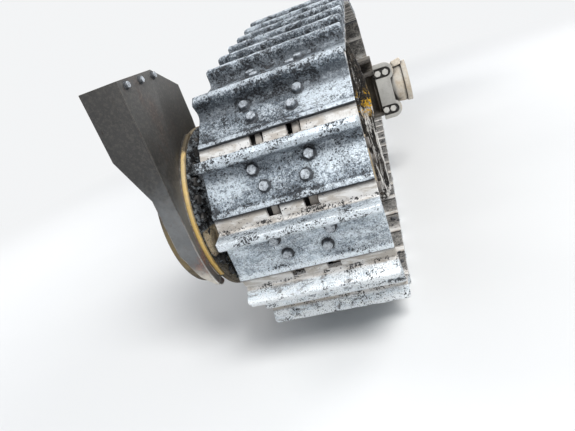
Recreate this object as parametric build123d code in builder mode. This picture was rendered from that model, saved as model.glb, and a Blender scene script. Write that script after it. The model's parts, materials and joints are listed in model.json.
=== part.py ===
from build123d import *
import os
from math import atan, atan2, ceil, cos, hypot, pi, radians, sin, tan

# Right-hand crawler track unit of a large low-drive dozer.
# +X points to the front idler, +Y points inboard to the machine, +Z points up.
# Lengths are millimetres. The unit stands on its shoes with Z = 0 at their tips.
# Positions below are given from the sprocket's axis and the middle of the track.

# Chain and shoes
LINK_PITCH = 228.6
LINK_COUNT = 41
SHOE_WIDTH = 610.0
SHOE_PLATE = 19.0
GROUSER_HEIGHT = 72.0
LINK_SEAT = 76.0
LINK_RAIL = 62.0
RAIL_INNER = 70.0
RAIL_WIDTH = 46.0
SEAT_LENGTH = 170.0
LINK_NOTCH = 46.0
BUSHING_RADIUS = 33.0
BUSHING_SIDES = 10

# Sprocket, two teeth to a link
SPROCKET_TEETH = 25
LINKS_ON_SPROCKET = 7
SPROCKET_THICKNESS = 70.0
SPROCKET_TIP_RADIUS = 492.0
TOOTH_TIP_WIDTH = 22.0
VALLEY_HALF_ANGLE = 75.0
SPROCKET_BORE_RADIUS = 300.0

# Sprocket hub and final drive, turned about the sprocket's axis
HUB_FLANGE_RADIUS = 385.0
HUB_FLANGE_THICKNESS = 28.0
HUB_HALF_WIDTH = 66.0
COVER_RADIUS = 255.0
COVER_RIM_DEPTH = 60.0
COVER_NECK_RADIUS = 212.0
COVER_CROWN_RADIUS = 165.0
COVER_CHAMFER = 25.0
COVER_DEPTH = 205.0
CASE_NOSE_RADIUS = 235.0
CASE_BODY_RADIUS = 300.0
CASE_STEP = 210.0
CASE_RING_RADIUS = 396.0
CASE_RING_OUTER = 452.0
CASE_RING_THICKNESS = 24.0
CASE_NECK_RADIUS = 300.0
MACHINE_FLANGE_RADIUS = 350.0
MACHINE_FLANGE_THICKNESS = 40.0
MACHINE_BOLT_CIRCLE = 630.0
MACHINE_BOLTS = 24
MACHINE_BOLT_RADIUS = 11.0

# Final drive guard
INBOARD_REACH = 640.0
GUARD_PLATE = 16.0
GUARD_RADIUS = 445.0
GUARD_TOP = 700.0
GUARD_FRONT = 60.0
GUARD_SHOULDER = 600.0
GUARD_TOP_FRONT = -150.0
GUARD_START_ANGLE = -8.0
GUARD_END_ANGLE = 120.0
RIM_THICKNESS = 9.0
RIM_START_ANGLE = 12.0
RIM_END_ANGLE = 119.0
GUARD_SEAT_RADIUS = 345.0

# Front idler
IDLER_TREAD_RADIUS = 375.0
IDLER_FLANGE = 22.0
IDLER_FLANGE_HALF_WIDTH = 58.0
IDLER_FLANGE_TAPER = 5.5
IDLER_RIM_THICKNESS = 34.0
IDLER_WEB_HALF = 24.0
IDLER_HUB_RADIUS = 112.0
IDLER_HUB_HALF_WIDTH = 114.0
IDLER_SHAFT_RADIUS = 50.0
BLOCK_LENGTH = 220.0
BLOCK_TOP = 84.0

# Track rollers and carrier rollers
ROLLER_COUNT = 7
ROLLER_FIRST = 610.0
ROLLER_PITCH = 356.0
ROLLER_TREAD_RADIUS = 120.0
ROLLER_FLANGE_RADIUS = 143.0
ROLLER_WAIST_RADIUS = 98.0
ROLLER_SHAFT_RADIUS = 38.0
ROLLER_SIDE_GAP = 2.0
ROLLER_FLANGE_FOOT = 2.0
ROLLER_FLANGE_CREST = 6.0
ROLLER_TREAD_LIP = 4.0
ROLLER_WAIST_INSET = 20.0
COLLAR_LENGTH = 120.0
COLLAR_DROP = 52.0
CARRIER_TREAD_RADIUS = 95.0
CARRIER_FLANGE_RADIUS = 112.0
CARRIER_SHAFT_RADIUS = 34.0
CARRIER_FLANGE_FOOT = 4.0
CARRIER_FLANGE_CREST = 8.0
CARRIER_NECK_HALF = 68.0
CARRIER_BRACKET_WIDTH = 44.0
CARRIER_BRACKET_LENGTH = 170.0

# Track frame
FRAME_REAR = 560.0
FRAME_FRONT = 2300.0
FRAME_HALF_WIDTH = 165.0
FRAME_TOP = 140.0
FRAME_BOTTOM = -98.0
FRAME_NOSE_DROP = 70.0
FRAME_NOSE_LENGTH = 260.0
SIDE_RAIL_INNER = 130.0
SIDE_RAIL_WIDTH = 55.0
SIDE_RAIL_BOTTOM = -223.0
SIDE_RAIL_FRONT_OVERHANG = 150.0

# Recoil housing, yoke and guards
RECOIL_RADIUS = 118.0
RECOIL_LENGTH = 210.0
RECOIL_FLANGE_RADIUS = 138.0
RECOIL_FLANGE_THICKNESS = 24.0
ROD_RADIUS = 46.0
YOKE_BAR = 62.0
YOKE_HEIGHT = 112.0
YOKE_GAP = 30.0
ADJUSTER_LENGTH = 260.0
ADJUSTER_WIDTH = 190.0
ADJUSTER_THICKNESS = 14.0
GUARD_THICKNESS = 16.0
ROLLER_GUARD_LENGTH = 1960.0
ROLLER_GUARD_TOP = -120.0
ROLLER_GUARD_BOTTOM = -335.0
GUARD_SLOPE = 70.0
GUIDE_LENGTH = 250.0
GUIDE_GAP = 30.0

# Push-arm trunnion, outboard of the shoes
OUTBOARD_REACH = 576.0
TRUNNION_FORWARD = 1275.0
TRUNNION_HEIGHT = 80.0
BALL_OUTBOARD = 462.0
BALL_RADIUS = 78.0
NECK_RADIUS = 50.0
NECK_RELIEF = 8.0
CAP_PLATE_THICKNESS = 36.0
CAP_PLATE_REAR = 108.0
CAP_PLATE_INNER = 366.0
CAP_PLATE_WAIST = 461.0
CAP_PLATE_LOBE = 491.0
CAP_PLATE_RISE = 171.0
CAP_PLATE_DROP = 196.0
LOBE_RADIUS = 58.0
POCKET_RADIUS = 33.0
POCKET_END = 440.0
POCKET_DEPTH = 12.0
SOCKET_LENGTH = 130.0
SOCKET_HALF_HEIGHT = 118.0
ARM_LENGTH = 190.0
ARM_TOP = 300.0
ARM_SHELF = 212.0
ARM_BOTTOM = -90.0
ARM_PLATE = 20.0
ARM_WEB = 60.0
ARM_END_REAR = 45.0
ARM_END_TOP = 170.0

# Equalizer pad and diagonal brace
PAD_FORWARD = 1660.0
PAD_LENGTH = 190.0
PAD_WIDTH = 180.0
PAD_HEIGHT = 56.0
BRACE_FRONT = 1330.0
BRACE_REAR = 960.0
BRACE_TOP = 34.0
BRACE_BOTTOM = -92.0
PIVOT_FORWARD = 590.0
PIVOT_WIDTH = 104.0
PIVOT_RADIUS = 104.0
PIVOT_BORE_RADIUS = 62.0
BRACE_WIDTH = 150.0

# Clearances
RUNNING_GAP = 0.5
FIT_GAP = 0.2

# Top run from the idler back: mean tilt of each span, and the tilt added by its sag, in degrees
TOP_SPANS = [
    (7.66, 0.3),
    (0.0, 1.2),
    (-7.66, 0.0),
]

# Inboard edge of the guard's wrap: distance inboard, height over the axle
WRAP_EDGE = [
    (INBOARD_REACH, 430.0),
    (560.0, 240.0),
    (560.0, -20.0),
    (545.0, -57.0),
    (526.0, -152.0),
    (494.0, -209.0),
    (494.0, -260.0),
]

# Turned socket housing, split by the cap: distance outboard, radius
HOUSING = [
    (CAP_PLATE_INNER + FIT_GAP, 92.0),
    (452.0, 96.0),
    (478.0, 122.0),
    (528.0, 127.0),
    (545.0, 119.0),
    (545.0, 134.0),
    (OUTBOARD_REACH, 134.0),
]

# One shoe in side view: position along the shoe, height over its plate face
SHOE_OUTLINE = [
    (-108.0, -6.0),
    (-102.0, -2.0),
    (-99.0, 64.0),
    (-92.0, GROUSER_HEIGHT),
    (-75.0, GROUSER_HEIGHT),
    (-60.0, 54.0),
    (-58.0, 14.0),
    (-34.0, 0.0),
    (82.0, 0.0),
    (95.0, 8.0),
    (111.0, 8.0),
    (117.0, 1.0),
]

# Chain on the sprocket
HALF_TURN = 2 * pi / SPROCKET_TEETH
PIN_CIRCLE = LINK_PITCH / 2 / sin(HALF_TURN)
CHORD_RADIUS = LINK_PITCH / 2 / tan(HALF_TURN)
PLATE_FACE = LINK_SEAT + SHOE_PLATE
AXLE_HEIGHT = CHORD_RADIUS + PLATE_FACE + GROUSER_HEIGHT
IDLER_CHORD_RADIUS = IDLER_TREAD_RADIUS + RUNNING_GAP + LINK_RAIL
IDLER_HEIGHT = IDLER_CHORD_RADIUS - CHORD_RADIUS
RAIL_FACE = -CHORD_RADIUS + LINK_RAIL


# The chain laid out in side view, from the top of the sprocket round its rear
def sprocket_pins():
    last = pi + HALF_TURN
    angles = [last - 2 * HALF_TURN * (LINKS_ON_SPROCKET - i) for i in range(LINKS_ON_SPROCKET + 1)]
    return [(-PIN_CIRCLE * sin(a), PIN_CIRCLE * cos(a)) for a in angles]


# Pins of the ground run and round the idler, each link lying on the idler's tread
def forward_pins(idler_forward):
    x, z = sprocket_pins()[-1]
    pins = []
    for _ in range(ceil((idler_forward - x) / LINK_PITCH)):
        x += LINK_PITCH
        pins.append((x, z))
    reach = x - idler_forward
    heading = 0.0
    while heading + 2 * atan(reach / IDLER_CHORD_RADIUS) < pi:
        heading += 2 * atan(reach / IDLER_CHORD_RADIUS)
        x += LINK_PITCH * cos(heading)
        z += LINK_PITCH * sin(heading)
        pins.append((x, z))
        reach = LINK_PITCH - reach
    return pins


# Link tilts of the top run, which rises over the carrier rollers and sags between them
def top_tilts(count):
    tilts = []
    for i in range(count):
        share = (i + 0.5) / count * len(TOP_SPANS)
        mean, sag = TOP_SPANS[int(share)]
        tilts.append(radians(mean + sag * (2 * (share - int(share)) - 1)))
    return tilts


# How far the top run's links miss the distance that they have to cover
def slack(idler_forward):
    laid = sprocket_pins() + forward_pins(idler_forward)
    tilts = top_tilts(LINK_COUNT + 1 - len(laid))
    along = sum(LINK_PITCH * cos(t) for t in tilts)
    across = sum(LINK_PITCH * sin(t) for t in tilts)
    start, end = laid[-1], laid[0]
    return hypot(along, across) - hypot(end[0] - start[0], end[1] - start[1])


# The idler's place that closes the chain, found by halving
def closed_idler_place():
    near = LINK_PITCH * (LINK_COUNT / 2 - LINKS_ON_SPROCKET)
    far = LINK_PITCH * LINK_COUNT / 2
    for _ in range(60):
        middle = (near + far) / 2
        if slack(middle) > 0:
            near = middle
        else:
            far = middle
    return near


def chain_pins(idler_forward):
    pins = sprocket_pins() + forward_pins(idler_forward)
    tilts = top_tilts(LINK_COUNT + 1 - len(pins))
    start, end = pins[-1], pins[0]
    along = sum(LINK_PITCH * cos(t) for t in tilts)
    across = sum(LINK_PITCH * sin(t) for t in tilts)
    base = atan2(end[1] - start[1], end[0] - start[0]) - atan2(across, along)
    x, z = start
    for tilt in tilts[:-1]:
        x += LINK_PITCH * cos(base - tilt)
        z += LINK_PITCH * sin(base - tilt)
        pins.append((x, z))
    return pins


IDLER_FORWARD = closed_idler_place()
PINS = chain_pins(IDLER_FORWARD)
LINKS = list(zip(PINS, PINS[1:] + PINS[:1]))


# A point on a link, along it from its middle and out from its pin line
def on_link(link, along, out):
    (x1, z1), (x2, z2) = link
    tx, tz = (x2 - x1) / LINK_PITCH, (z2 - z1) / LINK_PITCH
    x = (x1 + x2) / 2 + tx * along + tz * out
    z = (z1 + z2) / 2 + tz * along - tx * out
    return (x, z)


SHOE_POINTS = [on_link(k, s, PLATE_FACE + h) for k in LINKS for s, h in SHOE_OUTLINE]
SEAT_POINTS = [on_link(k, s, LINK_SEAT) for k in LINKS for s in (-SEAT_LENGTH / 2, SEAT_LENGTH / 2)]

# The row's origin is under the middle of the whole unit
AXLE_X = -(min(x for x, z in SHOE_POINTS) + max(x for x, z in SHOE_POINTS)) / 2
TRACK_Y = (OUTBOARD_REACH - INBOARD_REACH) / 2

os.makedirs("parts", exist_ok=True)


# Sketch plane in side view, at a distance inboard of the track's middle
def side_plane(inboard):
    return Plane(origin=(AXLE_X, TRACK_Y + inboard, AXLE_HEIGHT), x_dir=(1, 0, 0), z_dir=(0, -1, 0))


# Sketch plane through a crosswise axle, with its first axis inboard
def axle_plane(forward, up):
    return Plane(origin=(AXLE_X + forward, TRACK_Y, AXLE_HEIGHT + up), x_dir=(0, 1, 0), z_dir=(1, 0, 0))


# Sketch plane in top view, at a height over the sprocket's axis
def top_plane(up):
    return Plane(origin=(AXLE_X, TRACK_Y, AXLE_HEIGHT + up), x_dir=(1, 0, 0), z_dir=(0, 0, 1))


def cross_axis(forward, up):
    return Axis((AXLE_X + forward, TRACK_Y, AXLE_HEIGHT + up), (0, 1, 0))


def save(piece, label):
    piece.part.label = label
    export_step(piece.part, f"parts/{label}.step")


def polygon(points):
    Polyline(*points, close=True)


# A solid with the given side view between two distances inboard
def add_slab(points, low, high, mode=Mode.ADD):
    with BuildSketch(side_plane(high)) as section:
        with BuildLine():
            polygon(points)
        make_face()
    extrude(section.sketch, amount=high - low, mode=mode)


# A solid turned about a crosswise axle from distance inboard and radius
def add_turned(points, forward, up, mode=Mode.ADD):
    with BuildSketch(axle_plane(forward, up)) as section:
        with BuildLine():
            polygon(points)
        make_face()
    revolve(section.sketch, axis=cross_axis(forward, up), mode=mode)


def box_points(left, right, low, high):
    return [(left, low), (right, low), (right, high), (left, high)]


def both_sides(low, high):
    return [(low, high), (-high, -low)]


# Shoes: one closed band with every shoe's outline
with BuildPart() as track_shoes:
    with BuildSketch(side_plane(SHOE_WIDTH / 2)) as shoe_band:
        with BuildLine():
            polygon(SHOE_POINTS)
        make_face()
        with BuildLine():
            polygon(SEAT_POINTS)
        make_face(mode=Mode.SUBTRACT)
    extrude(amount=SHOE_WIDTH)
save(track_shoes, "track_shoes")


# Rail face of each link meets the next one's where their offset lines cross
def rail_points():
    points = []
    for link, following in zip(LINKS, LINKS[1:] + LINKS[:1]):
        (x1, z1), (x2, z2) = link
        x3, z3 = following[1]
        turn = atan2(z3 - z2, x3 - x2) - atan2(z2 - z1, x2 - x1)
        turn = (turn + pi) % (2 * pi) - pi
        points.append(on_link(link, LINK_PITCH / 2 - LINK_RAIL * tan(turn / 2), -LINK_RAIL))
    return points


# The notch over each pin, where one link ends and the next begins
def notched_points():
    points = []
    for link in LINKS:
        points.append(on_link(link, -SEAT_LENGTH / 2, LINK_SEAT))
        points.append(on_link(link, SEAT_LENGTH / 2, LINK_SEAT))
        points.append(on_link(link, LINK_PITCH / 2, LINK_NOTCH))
    return points


# Chain: two rows of links joined by the bushings
with BuildPart() as track_chain:
    for low, high in both_sides(RAIL_INNER, RAIL_INNER + RAIL_WIDTH):
        with BuildSketch(side_plane(high)) as rail:
            with BuildLine():
                polygon(notched_points())
            make_face()
            with BuildLine():
                polygon(rail_points())
            make_face(mode=Mode.SUBTRACT)
        extrude(amount=high - low)
    with BuildSketch(side_plane(RAIL_INNER)) as bushings:
        with Locations(*PINS):
            RegularPolygon(BUSHING_RADIUS, BUSHING_SIDES)
    extrude(amount=2 * RAIL_INNER)
save(track_chain, "track_chain")


# Toothed ring: a valley for each bushing and one between each two of them
VALLEY_RADIUS = BUSHING_RADIUS + RUNNING_GAP
TOOTH_STEP = 2 * pi / SPROCKET_TEETH


def around(angle, radius, aside=0.0):
    x = -radius * sin(angle) - aside * cos(angle)
    z = radius * cos(angle) - aside * sin(angle)
    return (x, z)


VALLEY_SIDE = VALLEY_RADIUS * sin(radians(VALLEY_HALF_ANGLE))
VALLEY_DROP = VALLEY_RADIUS * cos(radians(VALLEY_HALF_ANGLE))
with BuildPart() as drive_sprocket:
    with BuildSketch(side_plane(SPROCKET_THICKNESS / 2)) as teeth:
        with BuildLine():
            for tooth in range(SPROCKET_TEETH):
                valley = pi + HALF_TURN + tooth * TOOTH_STEP
                crown = valley + TOOTH_STEP / 2
                following = valley + TOOTH_STEP
                before = around(valley, PIN_CIRCLE - VALLEY_DROP, -VALLEY_SIDE)
                bottom = around(valley, PIN_CIRCLE - VALLEY_RADIUS)
                after = around(valley, PIN_CIRCLE - VALLEY_DROP, VALLEY_SIDE)
                tip_start = around(crown, SPROCKET_TIP_RADIUS, -TOOTH_TIP_WIDTH / 2)
                tip_end = around(crown, SPROCKET_TIP_RADIUS, TOOTH_TIP_WIDTH / 2)
                next_valley = around(following, PIN_CIRCLE - VALLEY_DROP, -VALLEY_SIDE)
                ThreePointArc(before, bottom, after)
                Polyline(after, tip_start, tip_end, next_valley)
        make_face()
        Circle(SPROCKET_BORE_RADIUS, mode=Mode.SUBTRACT)
    extrude(amount=SPROCKET_THICKNESS)
save(drive_sprocket, "drive_sprocket")

# Hub that the toothed ring is bolted to, with its flange on the outboard face
HUB_RADIUS = SPROCKET_BORE_RADIUS - FIT_GAP
HUB_OUTER_FACE = -SPROCKET_THICKNESS / 2 - HUB_FLANGE_THICKNESS
with BuildPart() as sprocket_hub:
    add_turned(
        [
            (HUB_OUTER_FACE, 0),
            (HUB_OUTER_FACE, HUB_FLANGE_RADIUS),
            (-SPROCKET_THICKNESS / 2, HUB_FLANGE_RADIUS),
            (-SPROCKET_THICKNESS / 2, HUB_RADIUS),
            (HUB_HALF_WIDTH, HUB_RADIUS),
            (HUB_HALF_WIDTH, 0),
        ],
        0,
        0,
    )
save(sprocket_hub, "sprocket_hub")

# Stepped cover on the hub's outboard face
with BuildPart() as final_drive_cover:
    add_turned(
        [
            (HUB_OUTER_FACE, 0),
            (HUB_OUTER_FACE, COVER_RADIUS),
            (HUB_OUTER_FACE - COVER_RIM_DEPTH, COVER_RADIUS),
            (HUB_OUTER_FACE - COVER_RIM_DEPTH, COVER_NECK_RADIUS),
            (HUB_OUTER_FACE - COVER_DEPTH + COVER_CHAMFER, COVER_CROWN_RADIUS + COVER_CHAMFER),
            (HUB_OUTER_FACE - COVER_DEPTH, COVER_CROWN_RADIUS),
            (HUB_OUTER_FACE - COVER_DEPTH, 0),
        ],
        0,
        0,
    )
save(final_drive_cover, "final_drive_cover")

# Case of the final drive, with its bolted ring and the flange to the machine
CASE_RING_INNER = CASE_RING_OUTER + CASE_RING_THICKNESS
FLANGE_FACE = INBOARD_REACH - MACHINE_FLANGE_THICKNESS
with BuildPart() as final_drive_case:
    add_turned(
        [
            (HUB_HALF_WIDTH, 0),
            (HUB_HALF_WIDTH, CASE_NOSE_RADIUS),
            (CASE_STEP, CASE_NOSE_RADIUS),
            (CASE_RING_OUTER, CASE_BODY_RADIUS),
            (CASE_RING_OUTER, CASE_RING_RADIUS),
            (CASE_RING_INNER, CASE_RING_RADIUS),
            (CASE_RING_INNER, CASE_NECK_RADIUS),
            (FLANGE_FACE, CASE_NECK_RADIUS),
            (FLANGE_FACE, MACHINE_FLANGE_RADIUS),
            (INBOARD_REACH, MACHINE_FLANGE_RADIUS),
            (INBOARD_REACH, 0),
        ],
        0,
        0,
    )
    with BuildSketch(side_plane(INBOARD_REACH)) as bolt_holes:
        with PolarLocations(MACHINE_BOLT_CIRCLE / 2, MACHINE_BOLTS):
            Circle(MACHINE_BOLT_RADIUS)
    extrude(amount=MACHINE_FLANGE_THICKNESS, mode=Mode.SUBTRACT)
save(final_drive_case, "final_drive_case")

# Guard round the rear of the case: a side plate and a wrap that runs up behind it
RIM_INNER_RADIUS = CASE_RING_RADIUS + FIT_GAP
RIM_OUTER_RADIUS = RIM_INNER_RADIUS + RIM_THICKNESS
RIM_START = radians(RIM_START_ANGLE)
RIM_END = radians(RIM_END_ANGLE)
RIM_MIDDLE = (RIM_START + RIM_END) / 2
GUARD_INSIDE = GUARD_RADIUS - GUARD_PLATE
GUARD_START = radians(GUARD_START_ANGLE)
GUARD_END = radians(GUARD_END_ANGLE)
LOWER_MIDDLE = (GUARD_END + pi / 2) / 2
SEAT_MIDDLE = (GUARD_START + GUARD_END) / 2


def guard_arc(radius):
    ThreePointArc((-radius, 0), around(LOWER_MIDDLE, radius), around(GUARD_END, radius))


with BuildPart() as final_drive_guard:
    with BuildSketch(side_plane(INBOARD_REACH)) as wrap:
        with BuildLine():
            Polyline((-GUARD_INSIDE, 0), (-GUARD_INSIDE, GUARD_TOP))
            Polyline((-GUARD_INSIDE, GUARD_TOP), (-GUARD_RADIUS, GUARD_TOP), (-GUARD_RADIUS, 0))
            guard_arc(GUARD_RADIUS)
            Line(around(GUARD_END, GUARD_RADIUS), around(GUARD_END, GUARD_INSIDE))
            guard_arc(GUARD_INSIDE)
        make_face()
    extrude(amount=INBOARD_REACH - CASE_RING_INNER)
    with BuildSketch(axle_plane(-GUARD_RADIUS, 0)) as trimming:
        with BuildLine():
            Polyline(*WRAP_EDGE, (INBOARD_REACH, WRAP_EDGE[-1][1]), close=True)
        make_face()
    extrude(amount=GUARD_RADIUS, mode=Mode.SUBTRACT)
    with BuildSketch(side_plane(CASE_RING_INNER + GUARD_PLATE)) as side_plate:
        with BuildLine():
            seat_start = around(GUARD_START, GUARD_SEAT_RADIUS)
            seat_end = around(GUARD_END, GUARD_SEAT_RADIUS)
            Polyline(seat_start, (GUARD_FRONT, GUARD_RADIUS), (GUARD_FRONT, GUARD_SHOULDER))
            Line((GUARD_FRONT, GUARD_SHOULDER), (GUARD_TOP_FRONT, GUARD_TOP))
            Polyline((GUARD_TOP_FRONT, GUARD_TOP), (-GUARD_RADIUS, GUARD_TOP), (-GUARD_RADIUS, 0))
            guard_arc(GUARD_RADIUS)
            Line(around(GUARD_END, GUARD_RADIUS), seat_end)
            ThreePointArc(seat_end, around(SEAT_MIDDLE, GUARD_SEAT_RADIUS), seat_start)
        make_face()
    extrude(amount=GUARD_PLATE)
save(final_drive_guard, "final_drive_guard")

# Rim standing outboard from the guard, close round the bolted ring
with BuildPart() as guard_rim:
    with BuildSketch(side_plane(CASE_RING_INNER)) as rim:
        with BuildLine():
            inner_start = around(RIM_START, RIM_INNER_RADIUS)
            inner_end = around(RIM_END, RIM_INNER_RADIUS)
            outer_start = around(RIM_START, RIM_OUTER_RADIUS)
            outer_end = around(RIM_END, RIM_OUTER_RADIUS)
            ThreePointArc(inner_start, around(RIM_MIDDLE, RIM_INNER_RADIUS), inner_end)
            Line(inner_end, outer_end)
            ThreePointArc(outer_end, around(RIM_MIDDLE, RIM_OUTER_RADIUS), outer_start)
            Line(outer_start, inner_start)
        make_face()
    extrude(amount=CASE_RING_THICKNESS)
save(guard_rim, "guard_rim")

# Front idler: two treads for the rails and a middle flange between them
IDLER_BORE = IDLER_SHAFT_RADIUS + FIT_GAP
IDLER_RIM_INSIDE = IDLER_TREAD_RADIUS - IDLER_RIM_THICKNESS
IDLER_HALF_WIDTH = RAIL_INNER + RAIL_WIDTH
IDLER_HALF = [
    (IDLER_HUB_HALF_WIDTH, IDLER_BORE),
    (IDLER_HUB_HALF_WIDTH, IDLER_HUB_RADIUS),
    (IDLER_WEB_HALF, IDLER_HUB_RADIUS + IDLER_WEB_HALF),
    (IDLER_WEB_HALF, IDLER_RIM_INSIDE - IDLER_WEB_HALF),
    (IDLER_HALF_WIDTH, IDLER_RIM_INSIDE),
    (IDLER_HALF_WIDTH, IDLER_TREAD_RADIUS),
    (IDLER_FLANGE_HALF_WIDTH + IDLER_FLANGE_TAPER, IDLER_TREAD_RADIUS),
    (IDLER_FLANGE_HALF_WIDTH, IDLER_TREAD_RADIUS + IDLER_FLANGE),
]
with BuildPart() as front_idler:
    mirrored = [(-y, r) for y, r in reversed(IDLER_HALF)]
    add_turned(IDLER_HALF + mirrored, IDLER_FORWARD, IDLER_HEIGHT)
save(front_idler, "front_idler")

SIDE_RAIL_OUTER = SIDE_RAIL_INNER + SIDE_RAIL_WIDTH
with BuildPart() as idler_shaft:
    with BuildSketch(side_plane(SIDE_RAIL_OUTER)) as shaft:
        with Locations((IDLER_FORWARD, IDLER_HEIGHT)):
            Circle(IDLER_SHAFT_RADIUS)
    extrude(amount=2 * SIDE_RAIL_OUTER)
save(idler_shaft, "idler_shaft")

# Bearing blocks that slide on the side rails and carry the idler's shaft
BLOCK_REAR = IDLER_FORWARD - BLOCK_LENGTH / 2
BLOCK_FRONT = IDLER_FORWARD + BLOCK_LENGTH / 2
BLOCK_OUTLINE = box_points(BLOCK_REAR, BLOCK_FRONT, FRAME_BOTTOM + RUNNING_GAP, BLOCK_TOP)
for label, (low, high) in zip(
    ("idler_block_inner", "idler_block_outer"), both_sides(SIDE_RAIL_INNER, SIDE_RAIL_OUTER)
):
    with BuildPart() as idler_block:
        add_slab(BLOCK_OUTLINE, low, high)
        with BuildSketch(side_plane(high)) as block_bore:
            with Locations((IDLER_FORWARD, IDLER_HEIGHT)):
                Circle(IDLER_BORE)
        extrude(amount=high - low, mode=Mode.SUBTRACT)
    save(idler_block, label)

# Yoke that pushes both blocks, with the recoil rod on its back
YOKE_TOP = FRAME_BOTTOM + RUNNING_GAP + YOKE_HEIGHT
YOKE_FRONT = IDLER_FORWARD - IDLER_TREAD_RADIUS - IDLER_FLANGE - YOKE_GAP
YOKE_REAR = YOKE_FRONT - YOKE_BAR
ROD_HEIGHT = FRAME_BOTTOM + RUNNING_GAP + YOKE_HEIGHT / 2
RECOIL_FRONT = FRAME_FRONT + RECOIL_LENGTH
with BuildPart() as idler_yoke:
    add_slab(
        box_points(YOKE_REAR, YOKE_FRONT, FRAME_BOTTOM + RUNNING_GAP, YOKE_TOP),
        -SIDE_RAIL_OUTER,
        SIDE_RAIL_OUTER,
    )
    for low, high in both_sides(SIDE_RAIL_INNER, SIDE_RAIL_OUTER):
        add_slab(
            box_points(YOKE_REAR, BLOCK_REAR, FRAME_BOTTOM + RUNNING_GAP, YOKE_TOP), low, high
        )
save(idler_yoke, "idler_yoke")

ROD_PLANE = Plane(
    origin=(AXLE_X + FRAME_FRONT, TRACK_Y, AXLE_HEIGHT + ROD_HEIGHT), x_dir=(0, 1, 0), z_dir=(1, 0, 0)
)
with BuildPart() as recoil_housing:
    with BuildSketch(ROD_PLANE) as recoil_tube:
        Circle(RECOIL_RADIUS)
    extrude(amount=RECOIL_LENGTH)
    with BuildSketch(ROD_PLANE.offset(RECOIL_LENGTH - RECOIL_FLANGE_THICKNESS)) as end_cover:
        Circle(RECOIL_FLANGE_RADIUS)
    extrude(amount=RECOIL_FLANGE_THICKNESS)
    with BuildSketch(ROD_PLANE.offset(RECOIL_LENGTH)) as rod:
        Circle(ROD_RADIUS)
    extrude(amount=YOKE_REAR - RECOIL_FRONT)
save(recoil_housing, "recoil_housing")

# Track frame: a box beam over two side rails that reach past the idler
RAIL_FRONT = IDLER_FORWARD + SIDE_RAIL_FRONT_OVERHANG
with BuildPart() as track_frame:
    add_slab(
        [
            (FRAME_REAR, FRAME_BOTTOM),
            (FRAME_FRONT, FRAME_BOTTOM),
            (FRAME_FRONT, FRAME_TOP - FRAME_NOSE_DROP),
            (FRAME_FRONT - FRAME_NOSE_LENGTH, FRAME_TOP),
            (FRAME_REAR + FRAME_NOSE_DROP, FRAME_TOP),
            (FRAME_REAR, FRAME_TOP - FRAME_NOSE_DROP),
        ],
        -FRAME_HALF_WIDTH,
        FRAME_HALF_WIDTH,
    )
    for low, high in both_sides(SIDE_RAIL_INNER, SIDE_RAIL_OUTER):
        add_slab(box_points(FRAME_REAR, RAIL_FRONT, SIDE_RAIL_BOTTOM, FRAME_BOTTOM), low, high)
save(track_frame, "track_frame")

with BuildPart() as adjuster_cover:
    adjuster_front = FRAME_FRONT - FRAME_NOSE_LENGTH
    add_slab(
        box_points(
            adjuster_front - ADJUSTER_LENGTH, adjuster_front, FRAME_TOP, FRAME_TOP + ADJUSTER_THICKNESS
        ),
        -ADJUSTER_WIDTH / 2,
        ADJUSTER_WIDTH / 2,
    )
save(adjuster_cover, "adjuster_cover")

# Track rollers, each in one piece with its shaft
ROLLER_AXIS = RAIL_FACE + RUNNING_GAP + ROLLER_TREAD_RADIUS
ROLLER_PLACES = [ROLLER_FIRST + i * ROLLER_PITCH for i in range(ROLLER_COUNT)]
RAIL_OUTER = RAIL_INNER + RAIL_WIDTH
ROLLER_END = SIDE_RAIL_INNER - ROLLER_SIDE_GAP
ROLLER_HALF = [
    (SIDE_RAIL_OUTER, 0),
    (SIDE_RAIL_OUTER, ROLLER_SHAFT_RADIUS),
    (ROLLER_END, ROLLER_SHAFT_RADIUS),
    (ROLLER_END, ROLLER_TREAD_RADIUS),
    (RAIL_OUTER + ROLLER_FLANGE_CREST, ROLLER_FLANGE_RADIUS),
    (RAIL_OUTER + ROLLER_FLANGE_FOOT, ROLLER_TREAD_RADIUS),
    (RAIL_INNER - ROLLER_TREAD_LIP, ROLLER_TREAD_RADIUS),
    (RAIL_INNER - ROLLER_WAIST_INSET, ROLLER_WAIST_RADIUS),
]
for number, forward in enumerate(ROLLER_PLACES, start=1):
    with BuildPart() as track_roller:
        other_half = [(-y, r) for y, r in reversed(ROLLER_HALF)]
        add_turned(ROLLER_HALF + other_half, forward, ROLLER_AXIS)
    save(track_roller, f"track_roller_{number}")

# Collars that hold the roller shafts under the side rails
for label, (low, high) in zip(
    ("roller_collars_inner", "roller_collars_outer"), both_sides(SIDE_RAIL_INNER, SIDE_RAIL_OUTER)
):
    with BuildPart() as roller_collars:
        for forward in ROLLER_PLACES:
            rear, front = forward - COLLAR_LENGTH / 2, forward + COLLAR_LENGTH / 2
            add_slab(box_points(rear, front, ROLLER_AXIS - COLLAR_DROP, SIDE_RAIL_BOTTOM), low, high)
        with BuildSketch(side_plane(high)) as shaft_holes:
            with Locations(*[(forward, ROLLER_AXIS) for forward in ROLLER_PLACES]):
                Circle(ROLLER_SHAFT_RADIUS + FIT_GAP)
        extrude(amount=high - low, mode=Mode.SUBTRACT)
    save(roller_collars, label)


# Height of an axle whose roller just touches the underside of the top run
def carrier_height(forward):
    rails = rail_points()
    low, high = FRAME_TOP, CHORD_RADIUS
    for _ in range(50):
        up = (low + high) / 2
        gap = min(
            rail_distance(forward, up, a, b) for a, b in zip(rails, rails[1:] + rails[:1])
        )
        if gap > CARRIER_TREAD_RADIUS + RUNNING_GAP:
            low = up
        else:
            high = up
    return low


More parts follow.
